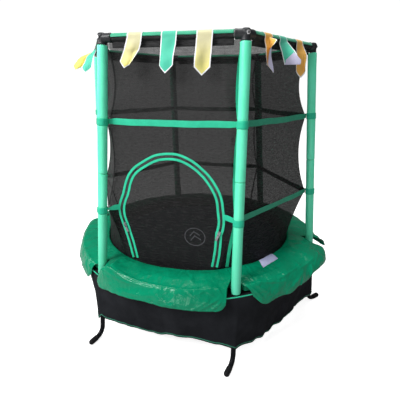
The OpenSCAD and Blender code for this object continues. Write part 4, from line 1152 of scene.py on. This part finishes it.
def cover_rows(k):
    """Rows of points of the cover on side k, from under the inner lip to the flap's hem."""
    u = np.linspace(0, 1, N_COL + 1)
    ft, fr, fz = along_list(FOLD[k], u)
    et, er, ez = along_list(EDGE[k], u)
    gs, ge = FOLD[k][0][0] - 60 * k, 60 * k + 60 - FOLD[k][-1][0]
    rows = []
    for r, z in LIP:
        th = 60 * k + 60 * u
        puck = wave_noise(th * pi / 180 * .72 / .012, th * 0 + r * 900, 161) * .0009 + wave_noise(th / 7, th * 0 + 3, 163) * .0030
        lift = np.clip((z - .396) / .045, 0, 1)
        rows.append((th, r + puck * .6 * lift, z + puck * lift))
    for p in np.linspace(0, 1, N_TOP):
        r = R_LIP + (fr - R_LIP) * p
        t = np.clip((r - APEX) / (fr - APEX), 0, 1)
        th = 60 * k + gs * t + (60 - (gs + ge) * t) * u
        # the fold's own height fades out towards the neighbouring side near the lip
        side = np.minimum(1, np.minimum(u, 1 - u) / .10)
        zf = .427 + (fz - .427) * np.maximum(side, p)
        puck = wave_noise(th * pi / 180 * .72 / .012, th * 0 + .565 * 900, 161) * .0009 + wave_noise(th / 7, th * 0 + 3, 163) * .0030
        z = .4442 + (zf - .4442) * smooth(p) * .55 + (zf - .4442) * p * .45 + .0085 * np.sin(pi * np.clip(p * 1.02, 0, 1)) + puck * (1 - p) ** 3
        z = z - .0065 * np.clip(1 - p * 5, 0, 1) * 0
        rows.append((th, r, z))
    for t in np.linspace(0, 1, N_FLAP + 1)[1:]:
        b0, b1, b2, b3 = (1 - t) ** 3, 3 * t * (1 - t) ** 2, 3 * t * t * (1 - t), t ** 3
        puff = np.clip((er - .745) / .045, 0, 1)
        r = fr * b0 + (fr + .012 + .018 * puff) * b1 + (er + .001) * b2 + er * b3
        z = fz * b0 + (fz - .004) * b1 + (ez + .032) * b2 + ez * b3
        th = ft + (et - ft) * (t ** .8)
        rows.append((th, r, z))
    return rows


N_ROW = len(LIP) + N_TOP + N_FLAP


def cover_grid(k):
    rows = cover_rows(k)
    th, r, z = (np.array([q[i] + 0 * rows[0][0] for q in rows]) for i in range(3))
    a = np.radians(th)
    P = np.stack([r * np.cos(a), r * np.sin(a), z], -1)
    S = np.concatenate([np.zeros((1, P.shape[1])), np.cumsum(np.linalg.norm(np.diff(P, axis=0), axis=2), 0)]) - .050
    X = .72 * a
    u = np.linspace(0, 1, N_COL + 1)[None] + 0 * S
    side = smooth(np.minimum(u, 1 - u) / .05)
    free = smooth((S - .005) / .03) * side
    h = 0 * S
    for c in CREASES[k]:
        h = h + ridge(X, S, *c) * side
    h = h + wave_noise(X / .052 + 5, S / .045 + 3 * k, 171 + k) * .0030 * free
    h = h + wave_noise(X / .017 + S / .03, S / .022 - X / .06, 181 + k) * .0010 * free
    h = h + wave_noise(X / .11, S / .07 + 3, 191 + k) * .0055 * free * smooth((S - .16) / .05)
    # gathered stitching 11 mm above the flap's hem
    hem = (S[-1:] - S)
    h = h - .0012 * np.exp(-((hem - .0105) / .0016) ** 2) + np.abs(wave_noise(X / .009, hem / .02, 197)) * .0009 * np.exp(-((hem - .012) / .006) ** 2)
    # turn the crease heights into an offset along the cover's normal
    gr, gc = np.gradient(P, axis=0), np.gradient(P, axis=1)
    nrm = np.cross(gc, gr)
    nrm /= np.maximum(np.linalg.norm(nrm, axis=2), 1e-9)[..., None]
    flip = np.sign(nrm[N_ROW // 3, N_COL // 2, 2])
    nrm = nrm * (flip if flip else 1)
    return P + nrm * h[..., None], X, S


g = Geo()
for k in range(6):
    P, X, S = cover_grid(k)
    g.grid(P, X, S, flip=False)
cover = make("pad_cover", g, M_VINYL, rep=["pad_flaps"], closed=False, weld=2e-5, smooth_angle=None)
bm = bmesh.new()
bm.from_mesh(cover.data)
up_ = sum(f.normal.z for f in bm.faces if abs(hypot(*f.calc_center_median()[:2]) - .62) < .03)
if up_ < 0:
    bmesh.ops.reverse_faces(bm, faces=bm.faces)
bm.to_mesh(cover.data)
from mathutils.bvhtree import BVHTree
tree = BVHTree.FromBMesh(bm)
bm.free()
thicken(cover, .0013, -1)

# foam core under the cover
g = Geo()
th = np.arange(720) / 720 * 2 * pi
deg = np.degrees(th) % 60
away = np.minimum(deg, 60 - deg)
r_out = .706 - .044 * smooth((3.6 - away) / 1.2)


def hit(x, y, lift=.6):
    loc = tree.ray_cast(Vector((float(x), float(y), lift)), Vector((0, 0, -1)))[0]
    return None if loc is None else loc.z


prof_p = np.r_[0, .02, .06, np.linspace(.12, .94, 14), .98, 1]
top_pts, bot_pts = [], []
for p in prof_p:
    r = .5695 + (r_out - .5695) * p
    z = np.array([hit(r[i] * cos(th[i]), r[i] * sin(th[i])) or .43 for i in range(0, 720, 4)])
    z = np.interp(np.arange(720), np.r_[np.arange(0, 720, 4), 720], np.r_[z, z[0]])
    z = np.convolve(np.r_[z[-9:], z, z[:9]], np.ones(19) / 19, "valid")
    drop = .0052 + .014 * (1 - min(1, p / .03)) * 0 + .010 * max(0, (p - .94) / .06)
    top_pts.append(np.stack([r * np.cos(th), r * np.sin(th), np.clip(z - drop, .40, .455)], -1))
    bot_pts.append(np.stack([r * np.cos(th), r * np.sin(th), .3935 + 0 * th], -1))
rows_ = top_pts + bot_pts[::-1] + top_pts[:1]
d = np.linspace(0, .33, len(rows_))
g.grid(np.array(rows_), np.linspace(0, 4.4, 721)[None] + 0 * d[:, None], d[:, None] + np.zeros((1, 721)), wrap=True)


def foam_core():
    m = Mat("pad_core", rough=.8, Specular_IOR_Level=.2)
    n = m.noise(300, 3, .6)
    m.color(m.mix(m.rng(n, .35, .65, 0, 1), (.0012, .16, .08), (.0016, .22, .11)))
    m.bump(m.vor(700), .0006, .5)
    return m.m


core = make("pad_core", g, foam_core(), rep=["pad_ring"], weld=2e-5)

# pale patch sewn on the right-hand side, left bare
A, B, C_, D = ((.428, -.371), (.487, -.277), (.526, -.330), (.459, -.443))
ur, vr = np.meshgrid(np.linspace(0, 1, 40), np.linspace(0, 1, 22))
px = (1 - vr) * ((1 - ur) * A[0] + ur * B[0]) + vr * ((1 - ur) * D[0] + ur * C_[0])
py = (1 - vr) * ((1 - ur) * A[1] + ur * B[1]) + vr * ((1 - ur) * D[1] + ur * C_[1])
pz = np.array([[hit(x, y) or .44 for x, y in zip(rx, ry)] for rx, ry in zip(px, py)]) + .0011
ob = make("pad_patch_cloth", Geo().grid(np.stack([px, py, pz], -1), ur * .12, vr * .072), M_PATCH, rep=["pad_patch"], closed=False, smooth_angle=None)
thicken(ob, .0009, 1)

# ------------------------------------------------------------------ skirt round the legs
HEMS = {
    4: [(-.372, .104), (-.362, .140), (-.336, .127), (-.242, .123), (-.120, .118), (-.070, .106), (-.020, .104), (.030, .122), (.100, .126), (.189, .121), (.305, .116), (.372, .100)],
    5: [(-.372, .100), (-.336, .095), (-.2, .062), (-.1, .030), (-.046, .014), (-.029, .037), (.041, .034), (.121, .060), (.199, .056), (.281, .077), (.340, .054), (.372, .060)],
    0: [(-.372, .060), (-.30, .085), (-.15, .070), (0, .092), (.15, .074), (.30, .088), (.372, .080)],
    1: [(-.372, .080), (-.25, .072), (-.1, .090), (.05, .070), (.2, .086), (.372, .078)],
    2: [(-.372, .078), (-.25, .090), (-.1, .074), (.05, .094), (.2, .080), (.372, .090)],
    3: [(-.372, .090), (-.25, .076), (-.1, .096), (.05, .086), (.2, .104), (.32, .112), (.372, .104)],
}


def skirt_point(k, u, z):
    """Outer side of the skirt on side k, at share u along it and height z."""
    w = np.clip((z - SKIRT_Z) / (SKIRT_TOP - SKIRT_Z), -.3, 1)
    a0, a1 = radians(60 * k) + ph(z), radians(60 * k + 60) + ph(z)
    a = a0 + (a1 - a0) * u
    lx = SKIRT_LOW_R * (np.cos(a0) * (1 - u) + np.cos(a1) * u)
    ly = SKIRT_LOW_R * (np.sin(a0) * (1 - u) + np.sin(a1) * u)
    x = lx * (1 - w) + SKIRT_TOP_R * np.cos(a) * w
    y = ly * (1 - w) + SKIRT_TOP_R * np.sin(a) * w
    an = radians(60 * k + 30) + ph(z)
    mid = np.sin(pi * u)
    fall = smooth((SKIRT_TOP - z) / .27)
    s = (u - .5) * SKIRT_LOW_R + 1.3 * k
    d = .0016
    calm = .35 if k == 4 else 1.
    fold = np.sin(s * 52 + 2.2 * np.sin(s * 9 + k) + z * 4) * .0045 * calm + np.sin(s * 23 + 1.5 * k) * .0060 * calm + wave_noise(s / .022, z / .09 + 4, 211) * .0022
    fold = fold + wave_noise(s / .05 + z / .06, z / .07 - s / .1, 213) * .0030
    d = d + (.0050 + fold) * fall * np.minimum(1, mid * 2.2) * .9
    return x + np.cos(an) * d, y + np.sin(an) * d


def hem_height(k, u):
    s = (u - .5) * .744
    p = np.array(HEMS[k]).T
    return np.mean([np.interp(s + e, p[0], p[1]) for e in (-.010, -.005, 0, .005, .010)], 0) + wave_noise(s / .03 + 4 * k, s * 0 + 1, 217) * .0014


P, UU, VV = [], [], []
pipe = []
for k in range(6):
    u = np.linspace(0, 1, 111)[:-1]
    he = hem_height(k, u)
    v = np.linspace(0, 1, 46)[:, None]
    z = he[None] + (SKIRT_TOP - he[None]) * v
    x, y = skirt_point(k, u[None] + 0 * z, z)
    P.append(np.stack([x, y, z], -1))
    zp = he + .0108
    x, y = skirt_point(k, u, zp)
    rr = np.hypot(x, y)
    pipe.append(np.stack([x * (1 + .0012 / rr), y * (1 + .0012 / rr), zp], -1))
P = np.concatenate(P, 1)
pipe = np.concatenate(pipe, 0)
sk_u = np.linspace(0, 4.46, P.shape[1] + 1)
g = Geo().grid(P, sk_u[None] + np.zeros((46, 1)), np.linspace(0, .29, 46)[:, None] + 0 * sk_u[None], wrap=True)
# the cloth's top is folded in over the frame ring, with a round hole for each pole
ca = np.arange(1440) / 1440 * 2 * pi
cr = np.array([.7220, .7165, .710, .702, .694, .686, .678, .670, .662, .654, .646, .638])
cz = np.interp(cr, [.638, .646, .654, .690, .712, .722], [.3885, .3840, .3802, .3812, .3812, .3798])
Pc = np.stack([cr[:, None] * np.cos(ca), cr[:, None] * np.sin(ca), cz[:, None] + np.abs(wave_noise(ca[None] * 90 / (2 * pi), cr[:, None] * 40, 233, wrap_x=90)) * .0007], -1)
base = g.n
g.grid(Pc, (np.arange(1441) / 1440 * 4.4)[None], cr[:, None], wrap=True, flip=True)
mid_r, mid_a = (cr[:-1] + cr[1:])[:, None] / 2, (ca + pi / 1440)[None]
gap = np.min([np.hypot(mid_r * np.cos(mid_a) - (RING_R - .001) * cos(pi / 3 * k), mid_r * np.sin(mid_a) - (RING_R - .001) * sin(pi / 3 * k)) for k in range(6)], 0).ravel()
used, inv = np.unique(g.q[-1][gap > .0185] - base, return_inverse=True)
g.v[-1], g.q[-1], g.uv[-1], g.n = g.v[-1][used], inv.reshape(-1, 4) + base, g.uv[-1][gap > .0185], base + len(used)
skirt = make("skirt_cloth", g, M_SKIRT, rep=["skirt_panels"], closed=False, smooth_angle=None)
thicken(skirt, .0012, 0)
# flat cord sewn on above the hem
C = np.vstack([pipe, pipe[:1]])
T = np.roll(pipe, -1, 0) - np.roll(pipe, 1, 0)
T /= np.linalg.norm(T, axis=1)[:, None]
er = pipe * np.array([1, 1, 0])
er /= np.linalg.norm(er, axis=1)[:, None]
er = er - T * (er * T).sum(1)[:, None]
er /= np.linalg.norm(er, axis=1)[:, None]
bt = np.cross(T, er)
th = np.arange(10) / 10 * 2 * pi
ring = pipe[None] + er[None] * (.0015 * np.cos(th))[:, None, None] + bt[None] * (.0026 * np.sin(th))[:, None, None]
ring = np.concatenate([ring, ring[:1]], 0)
g = Geo().grid(ring, sk_u[None] + np.zeros((11, 1)), np.linspace(0, .011, 11)[:, None] + 0 * sk_u[None], wrap=True)
sk_pipe = make("skirt_piping_cord", g, M_PIPEDARK, rep=["skirt_piping"], weld=1e-5)
g = Geo()
rr = SKIRT_TOP_R + .0022
prof = [(rr, .3782), (rr + .0020, .3782), (rr + .0023, .3800), (rr + .0020, .3838), (rr, .3838)]
g.lathe(np.zeros(3), X_ := np.array([1., 0, 0]), np.array([0, 1., 0]), np.array([0, 0, 1.]), prof, 360, lambda t, h: wave_noise(t * 60 / (2 * pi), h * 0 + .5, 219, wrap_x=60) * .0005, closed=True)
sk_band = make("skirt_band_webbing", g, M_TAPE, rep=["skirt_band"], weld=1e-5)

# ------------------------------------------------------------------ jumping mat
def mat_top(r, a):
    return MAT_Z - .0034 * (1 - (r / MAT_R) ** 2)


def mat_edge(a):
    """Cloth edge: pulled out at the thirty-six rings and drawn in a little between them."""
    return MAT_R - .0004 - .0022 * (.5 + .5 * np.cos(36 * a))


NA = 432
a = np.arange(NA) / NA * 2 * pi
fr_ = np.r_[.004, np.linspace(.03, .92, 36), np.linspace(.93, 1, 10)]
R = fr_[:, None] * (MAT_R + (mat_edge(a) - MAT_R)[None] * smooth((fr_[:, None] - .9) / .1))
Zm = mat_top(R, a) + wave_noise(R * 9 + 5, a[None] * 3 + 0 * R, 221, wrap_x=None) * 0 + .0006 * np.sin(a[None] * 36) * smooth((fr_[:, None] - .9) / .1)
P = np.stack([R * np.cos(a), R * np.sin(a), Zm], -1)
g = Geo().grid(P, (R * np.cos(np.r_[a, 0])[None, :1]) + np.zeros((1, NA + 1)) if False else np.zeros((len(fr_), NA + 1)), np.zeros((len(fr_), NA + 1)), wrap=True)
g.caps.append([i for i in range(NA)][::-1])
mat = make("mat_cloth", g, M_MAT, body="mat_assembly", rep=["mat"], closed=False, smooth_angle=None)
bm = bmesh.new()
bm.from_mesh(mat.data)
if sum(f.normal.z for f in bm.faces) < 0:
    bmesh.ops.reverse_faces(bm, faces=bm.faces)
bm.to_mesh(mat.data)
bm.free()
thicken(mat, .0028, -1)

g = Geo()
prof_r = np.array([-.038, -.0372, -.030, -.019, -.008, -.0012, -.0004])
prof_h = np.array([.0002, .0015, .0017, .00165, .0017, .0015, .0002])
R = mat_edge(a)[None] + prof_r[:, None]
H = mat_top(R, a) + prof_h[:, None] + .0003 * np.abs(np.sin(a * 90))[None] * (prof_h[:, None] > .001)
rows_ = [np.stack([R[i] * np.cos(a), R[i] * np.sin(a), H[i]], -1) for i in range(7)]
rows_.append(rows_[0])
g.grid(np.array(rows_), np.linspace(0, 3.3, NA + 1)[None] + np.zeros((8, 1)), np.r_[prof_r, prof_r[0]][:, None] + np.zeros((1, NA + 1)), wrap=True)
# stitched rows and webbing tabs over the rings
for rr in (-.0345, -.0035, -.019):
    for j in range(0, 240):
        if rr == -.019 and j % 3:
            continue
        t0 = 2 * pi * j / 240
        t = t0 + np.linspace(0, .014, 4)
        rad = mat_edge(t) + rr
        C = np.stack([rad * np.cos(t), rad * np.sin(t), mat_top(rad, t) + .0019 + .0003 * np.sin(np.linspace(0, pi, 4))], -1)
        g.tube(C, .00045, 5)
hem = make("mat_hem_band", g, M_MATHEM, body="mat_assembly", rep=["mat_hem"], weld=1e-6)
g = Geo()
for i in range(36):
    t = radians(10 * i + 5)
    d, s_ = np.array([cos(t), sin(t), 0]), np.array([-sin(t), cos(t), 0])
    # the ring's near bar stands at r .529; the tab lies over it and comes back under the mat
    pr = [(.496, .3835), (.502, .3840), (.514, .3841), (.524, .3835), (.5290, .3812), (.5312, .3778), (.5296, .3745), (.5250, .3738), (.515, .3752), (.504, .3762)]
    q = np.array(pr)
    s2 = np.linspace(0, 9, 40)
    q = np.stack([np.interp(s2, range(10), q[:, 0]), np.interp(s2, range(10), q[:, 1])], -1)
    C = d * q[:, :1] + np.array([0, 0, 1.]) * q[:, 1:]
    T = np.gradient(C, axis=0)
    T /= np.linalg.norm(T, axis=1)[:, None]
    g.ribbon(C, np.tile(s_, (40, 1)), np.cross(T, s_), .0125, .0011, m=4)
tabs = make("mat_tabs", g, mat_tape("mat_tab_webbing", (.022, .023, .026), (.007, .007, .009), rough=.6), body="mat_assembly")
g = Geo()
ex, ey, et = -.011, -.0475, radians(21.8)
sides = 120
t = np.arange(sides) / sides * 2 * pi
prof = [(.0640, 0), (.0640, .0006), (.0643, .0007), (.0697, .0007), (.0700, .0006), (.0700, 0)]
rows_ = []
for r, h in prof + prof[:1]:
    x, y = turn(et, .96 * r * np.cos(t), 1.96 * r * np.sin(t))
    x, y = ex + x, ey + y
    rows_.append(np.stack([x, y, mat_top(np.hypot(x, y), 0) + .0001 + h], -1))
g.grid(np.array(rows_), np.linspace(0, .42, sides + 1)[None] + np.zeros((7, 1)), np.zeros((7, sides + 1)), wrap=True)
for sft in (-.022, .012):
    pts = np.array([(-.034, sft - .006), (-.017, sft + .010), (0, sft + .026), (.017, sft + .010), (.034, sft - .006)])
    tt = np.linspace(0, 4, 33)
    q = np.stack([np.interp(tt, range(5), pts[:, 0]), np.interp(tt, range(5), pts[:, 1])], -1)
    x, y = turn(et, .96 * q[:, 0], 1.96 * q[:, 1])
    x, y = ex + x, ey + y
    C = np.stack([x, y, mat_top(np.hypot(x, y), 0) + .00045], -1)
    g.ribbon(C, np.tile([-sin(et), cos(et), 0], (33, 1)), np.tile([0, 0, 1.], (33, 1)), .0190, .0007, m=6)
emb = make("mat_emblem_print", g, M_EMBLEM, body="mat_assembly", rep=["mat_emblem"])

# ------------------------------------------------------------------ pennants on the top rails
FLAG_RAIL = [4, 4, 4, 5, 5, 5, 3, 3]
FLAG_S = [-.150, -.003, .143, -.162, -.040, .118, -.205, -.120]
FLAG_MAT = [M_CREAM, M_GREEN, M_CREAM, M_ORANGE, M_GREEN, M_ORANGE, M_YELLOW, M_GREEN]
# stations at shares 0, .33, .67 and 1 of the length: sideways shift, outward shift, twist in degrees, turn of the folded-over part in degrees;
# then the length factor, where across the width the fold lies, the length at which the end is folded up (0: not), and the lengthwise roll
FLAG_POSE = [
    ((0, -.008, -.024, -.044), (0, .006, .014, .020), (0, -8, -14, -10), (0, 10, 60, 85), .88, .012, 0, .0040),
    ((0, -.003, -.008, -.012), (0, .005, .009, .012), (0, 10, 20, 24), (0, 0, 0, 0), .96, .030, 0, .0045),
    ((0, -.003, -.007, -.010), (0, .004, .007, .008), (0, -4, -8, -6), (0, 0, 0, 0), 1.02, .030, 0, .0040),
    ((0, .001, .004, .009), (0, .006, .010, .012), (4, 22, 34, 40), (60, 140, 165, 175), .94, -.006, 0, .0030),
    ((0, .003, .006, .006), (0, .010, .022, .030), (4, 40, 60, 64), (0, 0, 0, 0), 1.08, .030, .108, .0045),
    ((0, .000, .002, .002), (0, .004, .006, .008), (2, 8, 14, 16), (0, 30, 100, 130), 1.03, .014, 0, .0040),
    ((0, .004, .006, .004), (0, .028, .058, .086), (-12, -58, -72, -76), (0, 0, 20, 50), .92, .020, 0, .0050),
    ((0, .004, .010, .014), (0, .012, .024, .034), (-6, -30, -44, -50), (0, 0, 0, 0), .86, .030, 0, .0050),
]
FW, FL = .066, .150
for i in range(8):
    o, out, side, up = rail_frame(FLAG_RAIL[i])
    DS, DO, TW, BE, LF, WF, UP, roll = FLAG_POSE[i]
    w = np.linspace(-FW / 2, FW / 2, 33)
    total = FL * LF
    lmax = total - .032 * np.abs(w) / (FW / 2)
    ls = np.linspace(0, total, 200)

    def table(vals):
        v = np.interp(ls / total, [0, .33, .67, 1], vals)
        pad = np.r_[np.full(20, v[0]), v, np.full(20, v[-1])]
        return np.convolve(pad, np.hanning(43)[1:-1] / np.hanning(43)[1:-1].sum(), "same")[20:-20]

    ds_, do_, tw_, be_ = (table(v) for v in (DS, DO, TW, BE))
    if UP:
        ks = ls > UP
        do_[ks] = do_[~ks][-1] + .004 * smooth((ls[ks] - UP) / .012)
        ds_[ks] = ds_[~ks][-1]
    slope = np.sqrt(np.clip(1 - np.gradient(ds_, ls) ** 2 - np.gradient(do_, ls) ** 2, .1, 1))
    if UP:
        slope = slope * np.clip((UP - ls) / .006, -1, 1)
    dz = -np.r_[0, np.cumsum(slope[1:] * np.diff(ls))]
    P, U, V = [], [], []
    for ang in np.radians(np.linspace(150, 8, 16)):
        rad = .0186
        P.append(o + side * (FLAG_S[i] + w[:, None]) + out * rad * cos(ang) + up * rad * sin(ang))
        U.append(w), V.append(-ang * .017 + 0 * w)
    for t in np.linspace(0, 1, 52):
        l = t * lmax
        f = l / total
        g_ = lambda tab: np.interp(l, ls, tab)
        tw, be = np.radians(g_(tw_)), np.radians(g_(be_))
        over = np.maximum(0, w - WF)
        rad = .0034
        arc = np.minimum(over, rad * be)
        rest = over - arc
        aa = np.where(over > 0, WF + rad * np.sin(arc / rad) + rest * np.cos(be), w)
        bb = np.where(over > 0, rad * (1 - np.cos(arc / rad)) + rest * np.sin(be), 0)
        bb = bb + roll * smooth(f * 2.5) * (1 + np.cos(w / FW * 2 * pi * .9 + i)) + .0018 * smooth(f * 3) * np.sin(f * 9 + w * 60 + 2 * i)
        dev = aa * np.sin(tw) + bb * np.cos(tw)
        clear = np.maximum(0, -dev.min()) * smooth(f * 3)
        s__ = FLAG_S[i] + g_(ds_) + aa * np.cos(tw) - bb * np.sin(tw)
        o_ = .0186 + g_(do_) + clear + dev * smooth(f * 8 + .15)
        P.append(o + side * s__[:, None] + out * o_[:, None] + up * g_(dz)[:, None])
        U.append(w), V.append(np.minimum(l, 1) * FL / total)
    P = np.array(P)
    ob = make("pennant_%d_cloth" % (i + 1), Geo().grid(P, np.array(U), np.array(V)), FLAG_MAT[i], body="pennant_%d" % (i + 1), rep=["flag_%d" % (i + 1)], closed=False, smooth_angle=None)
    m_ = ob.data.polygons[32 * 12 + 16].normal
    if Vector(out + up).dot(m_) < 0:
        ob.data.flip_normals()

# ------------------------------------------------------------------ stage, light and camera
def stage_mesh(name, V, F):
    me = bpy.data.meshes.new(name)
    me.from_pydata(V, [], F)
    o = bpy.data.objects.new(name, me)
    bpy.context.scene.collection.objects.link(o)
    return o


floor = stage_mesh("floor", [(-9, -9, -.001), (9, -9, -.001), (9, 9, -.001), (-9, 9, -.001)], [(0, 1, 2, 3)])
m = bpy.data.materials.new("floor_white")
m.use_nodes = True
nt = m.node_tree
nt.nodes.clear()
outn = nt.nodes.new("ShaderNodeOutputMaterial")
dif = nt.nodes.new("ShaderNodeBsdfDiffuse")
dif.inputs[0].default_value = (.86, .86, .86, 1)
em = nt.nodes.new("ShaderNodeEmission")
em.inputs[0].default_value = (1, 1, 1, 1)
em.inputs[1].default_value = .80
add = nt.nodes.new("ShaderNodeAddShader")
nt.links.new(dif.outputs[0], add.inputs[0])
nt.links.new(em.outputs[0], add.inputs[1])
low = nt.nodes.new("ShaderNodeBsdfDiffuse")
low.inputs[0].default_value = (.42, .42, .42, 1)
see = nt.nodes.new("ShaderNodeMixShader")
lp = nt.nodes.new("ShaderNodeLightPath")
nt.links.new(lp.outputs["Is Camera Ray"], see.inputs[0])
nt.links.new(low.outputs[0], see.inputs[1])
nt.links.new(add.outputs[0], see.inputs[2])
nt.links.new(see.outputs[0], outn.inputs[0])
floor.data.materials.append(m)

w = bpy.data.worlds.new("studio")
bpy.context.scene.world = w
w.use_nodes = True
nt = w.node_tree
nt.nodes.clear()
outn = nt.nodes.new("ShaderNodeOutputWorld")
lp = nt.nodes.new("ShaderNodeLightPath")
amb = nt.nodes.new("ShaderNodeBackground")
amb.inputs[0].default_value = (1, 1, 1, 1)
amb.inputs[1].default_value = .42
cam_ = nt.nodes.new("ShaderNodeBackground")
cam_.inputs[0].default_value = (1, 1, 1, 1)
cam_.inputs[1].default_value = 1.05
gl = nt.nodes.new("ShaderNodeBackground")
gl.inputs[0].default_value = (1, 1, 1, 1)
gl.inputs[1].default_value = .10
m0 = nt.nodes.new("ShaderNodeMixShader")
nt.links.new(lp.outputs["Is Glossy Ray"], m0.inputs[0])
nt.links.new(amb.outputs[0], m0.inputs[1])
nt.links.new(gl.outputs[0], m0.inputs[2])
m2 = nt.nodes.new("ShaderNodeMixShader")
nt.links.new(lp.outputs["Is Camera Ray"], m2.inputs[0])
nt.links.new(m0.outputs[0], m2.inputs[1])
nt.links.new(cam_.outputs[0], m2.inputs[2])
nt.links.new(m2.outputs[0], outn.inputs[0])


def area(name, loc, target, size, power, col=(1, 1, 1)):
    l = bpy.data.lights.new(name, "AREA")
    l.shape, l.size, l.energy, l.color = "DISK", size, power, col
    o = bpy.data.objects.new(name, l)
    o.location = loc
    o.rotation_euler = (Vector(target) - Vector(loc)).to_track_quat("-Z", "Y").to_euler()
    bpy.context.scene.collection.objects.link(o)
    return o


area("key", (-1.9, -3.0, 3.4), (0, 0, .7), 1.8, 165)
area("top", (.2, .2, 4.2), (0, 0, .5), 2.2, 70)
area("side_left", (-3.2, -.6, 2.0), (0, 0, .8), 1.4, 30)
area("low_front", (.1, -3.2, .35), (0, -.5, .36), .5, 8)

cam = bpy.data.cameras.new("camera")
co = bpy.data.objects.new("camera", cam)
co.location = (.536, -1.910, 1.295)
co.rotation_euler = (radians(71.05), radians(.0), radians(15.38))
cam.sensor_width, cam.lens = 36, 29.51
bpy.context.scene.collection.objects.link(co)
bpy.context.scene.camera = co
bpy.context.scene.view_settings.view_transform = "Standard"
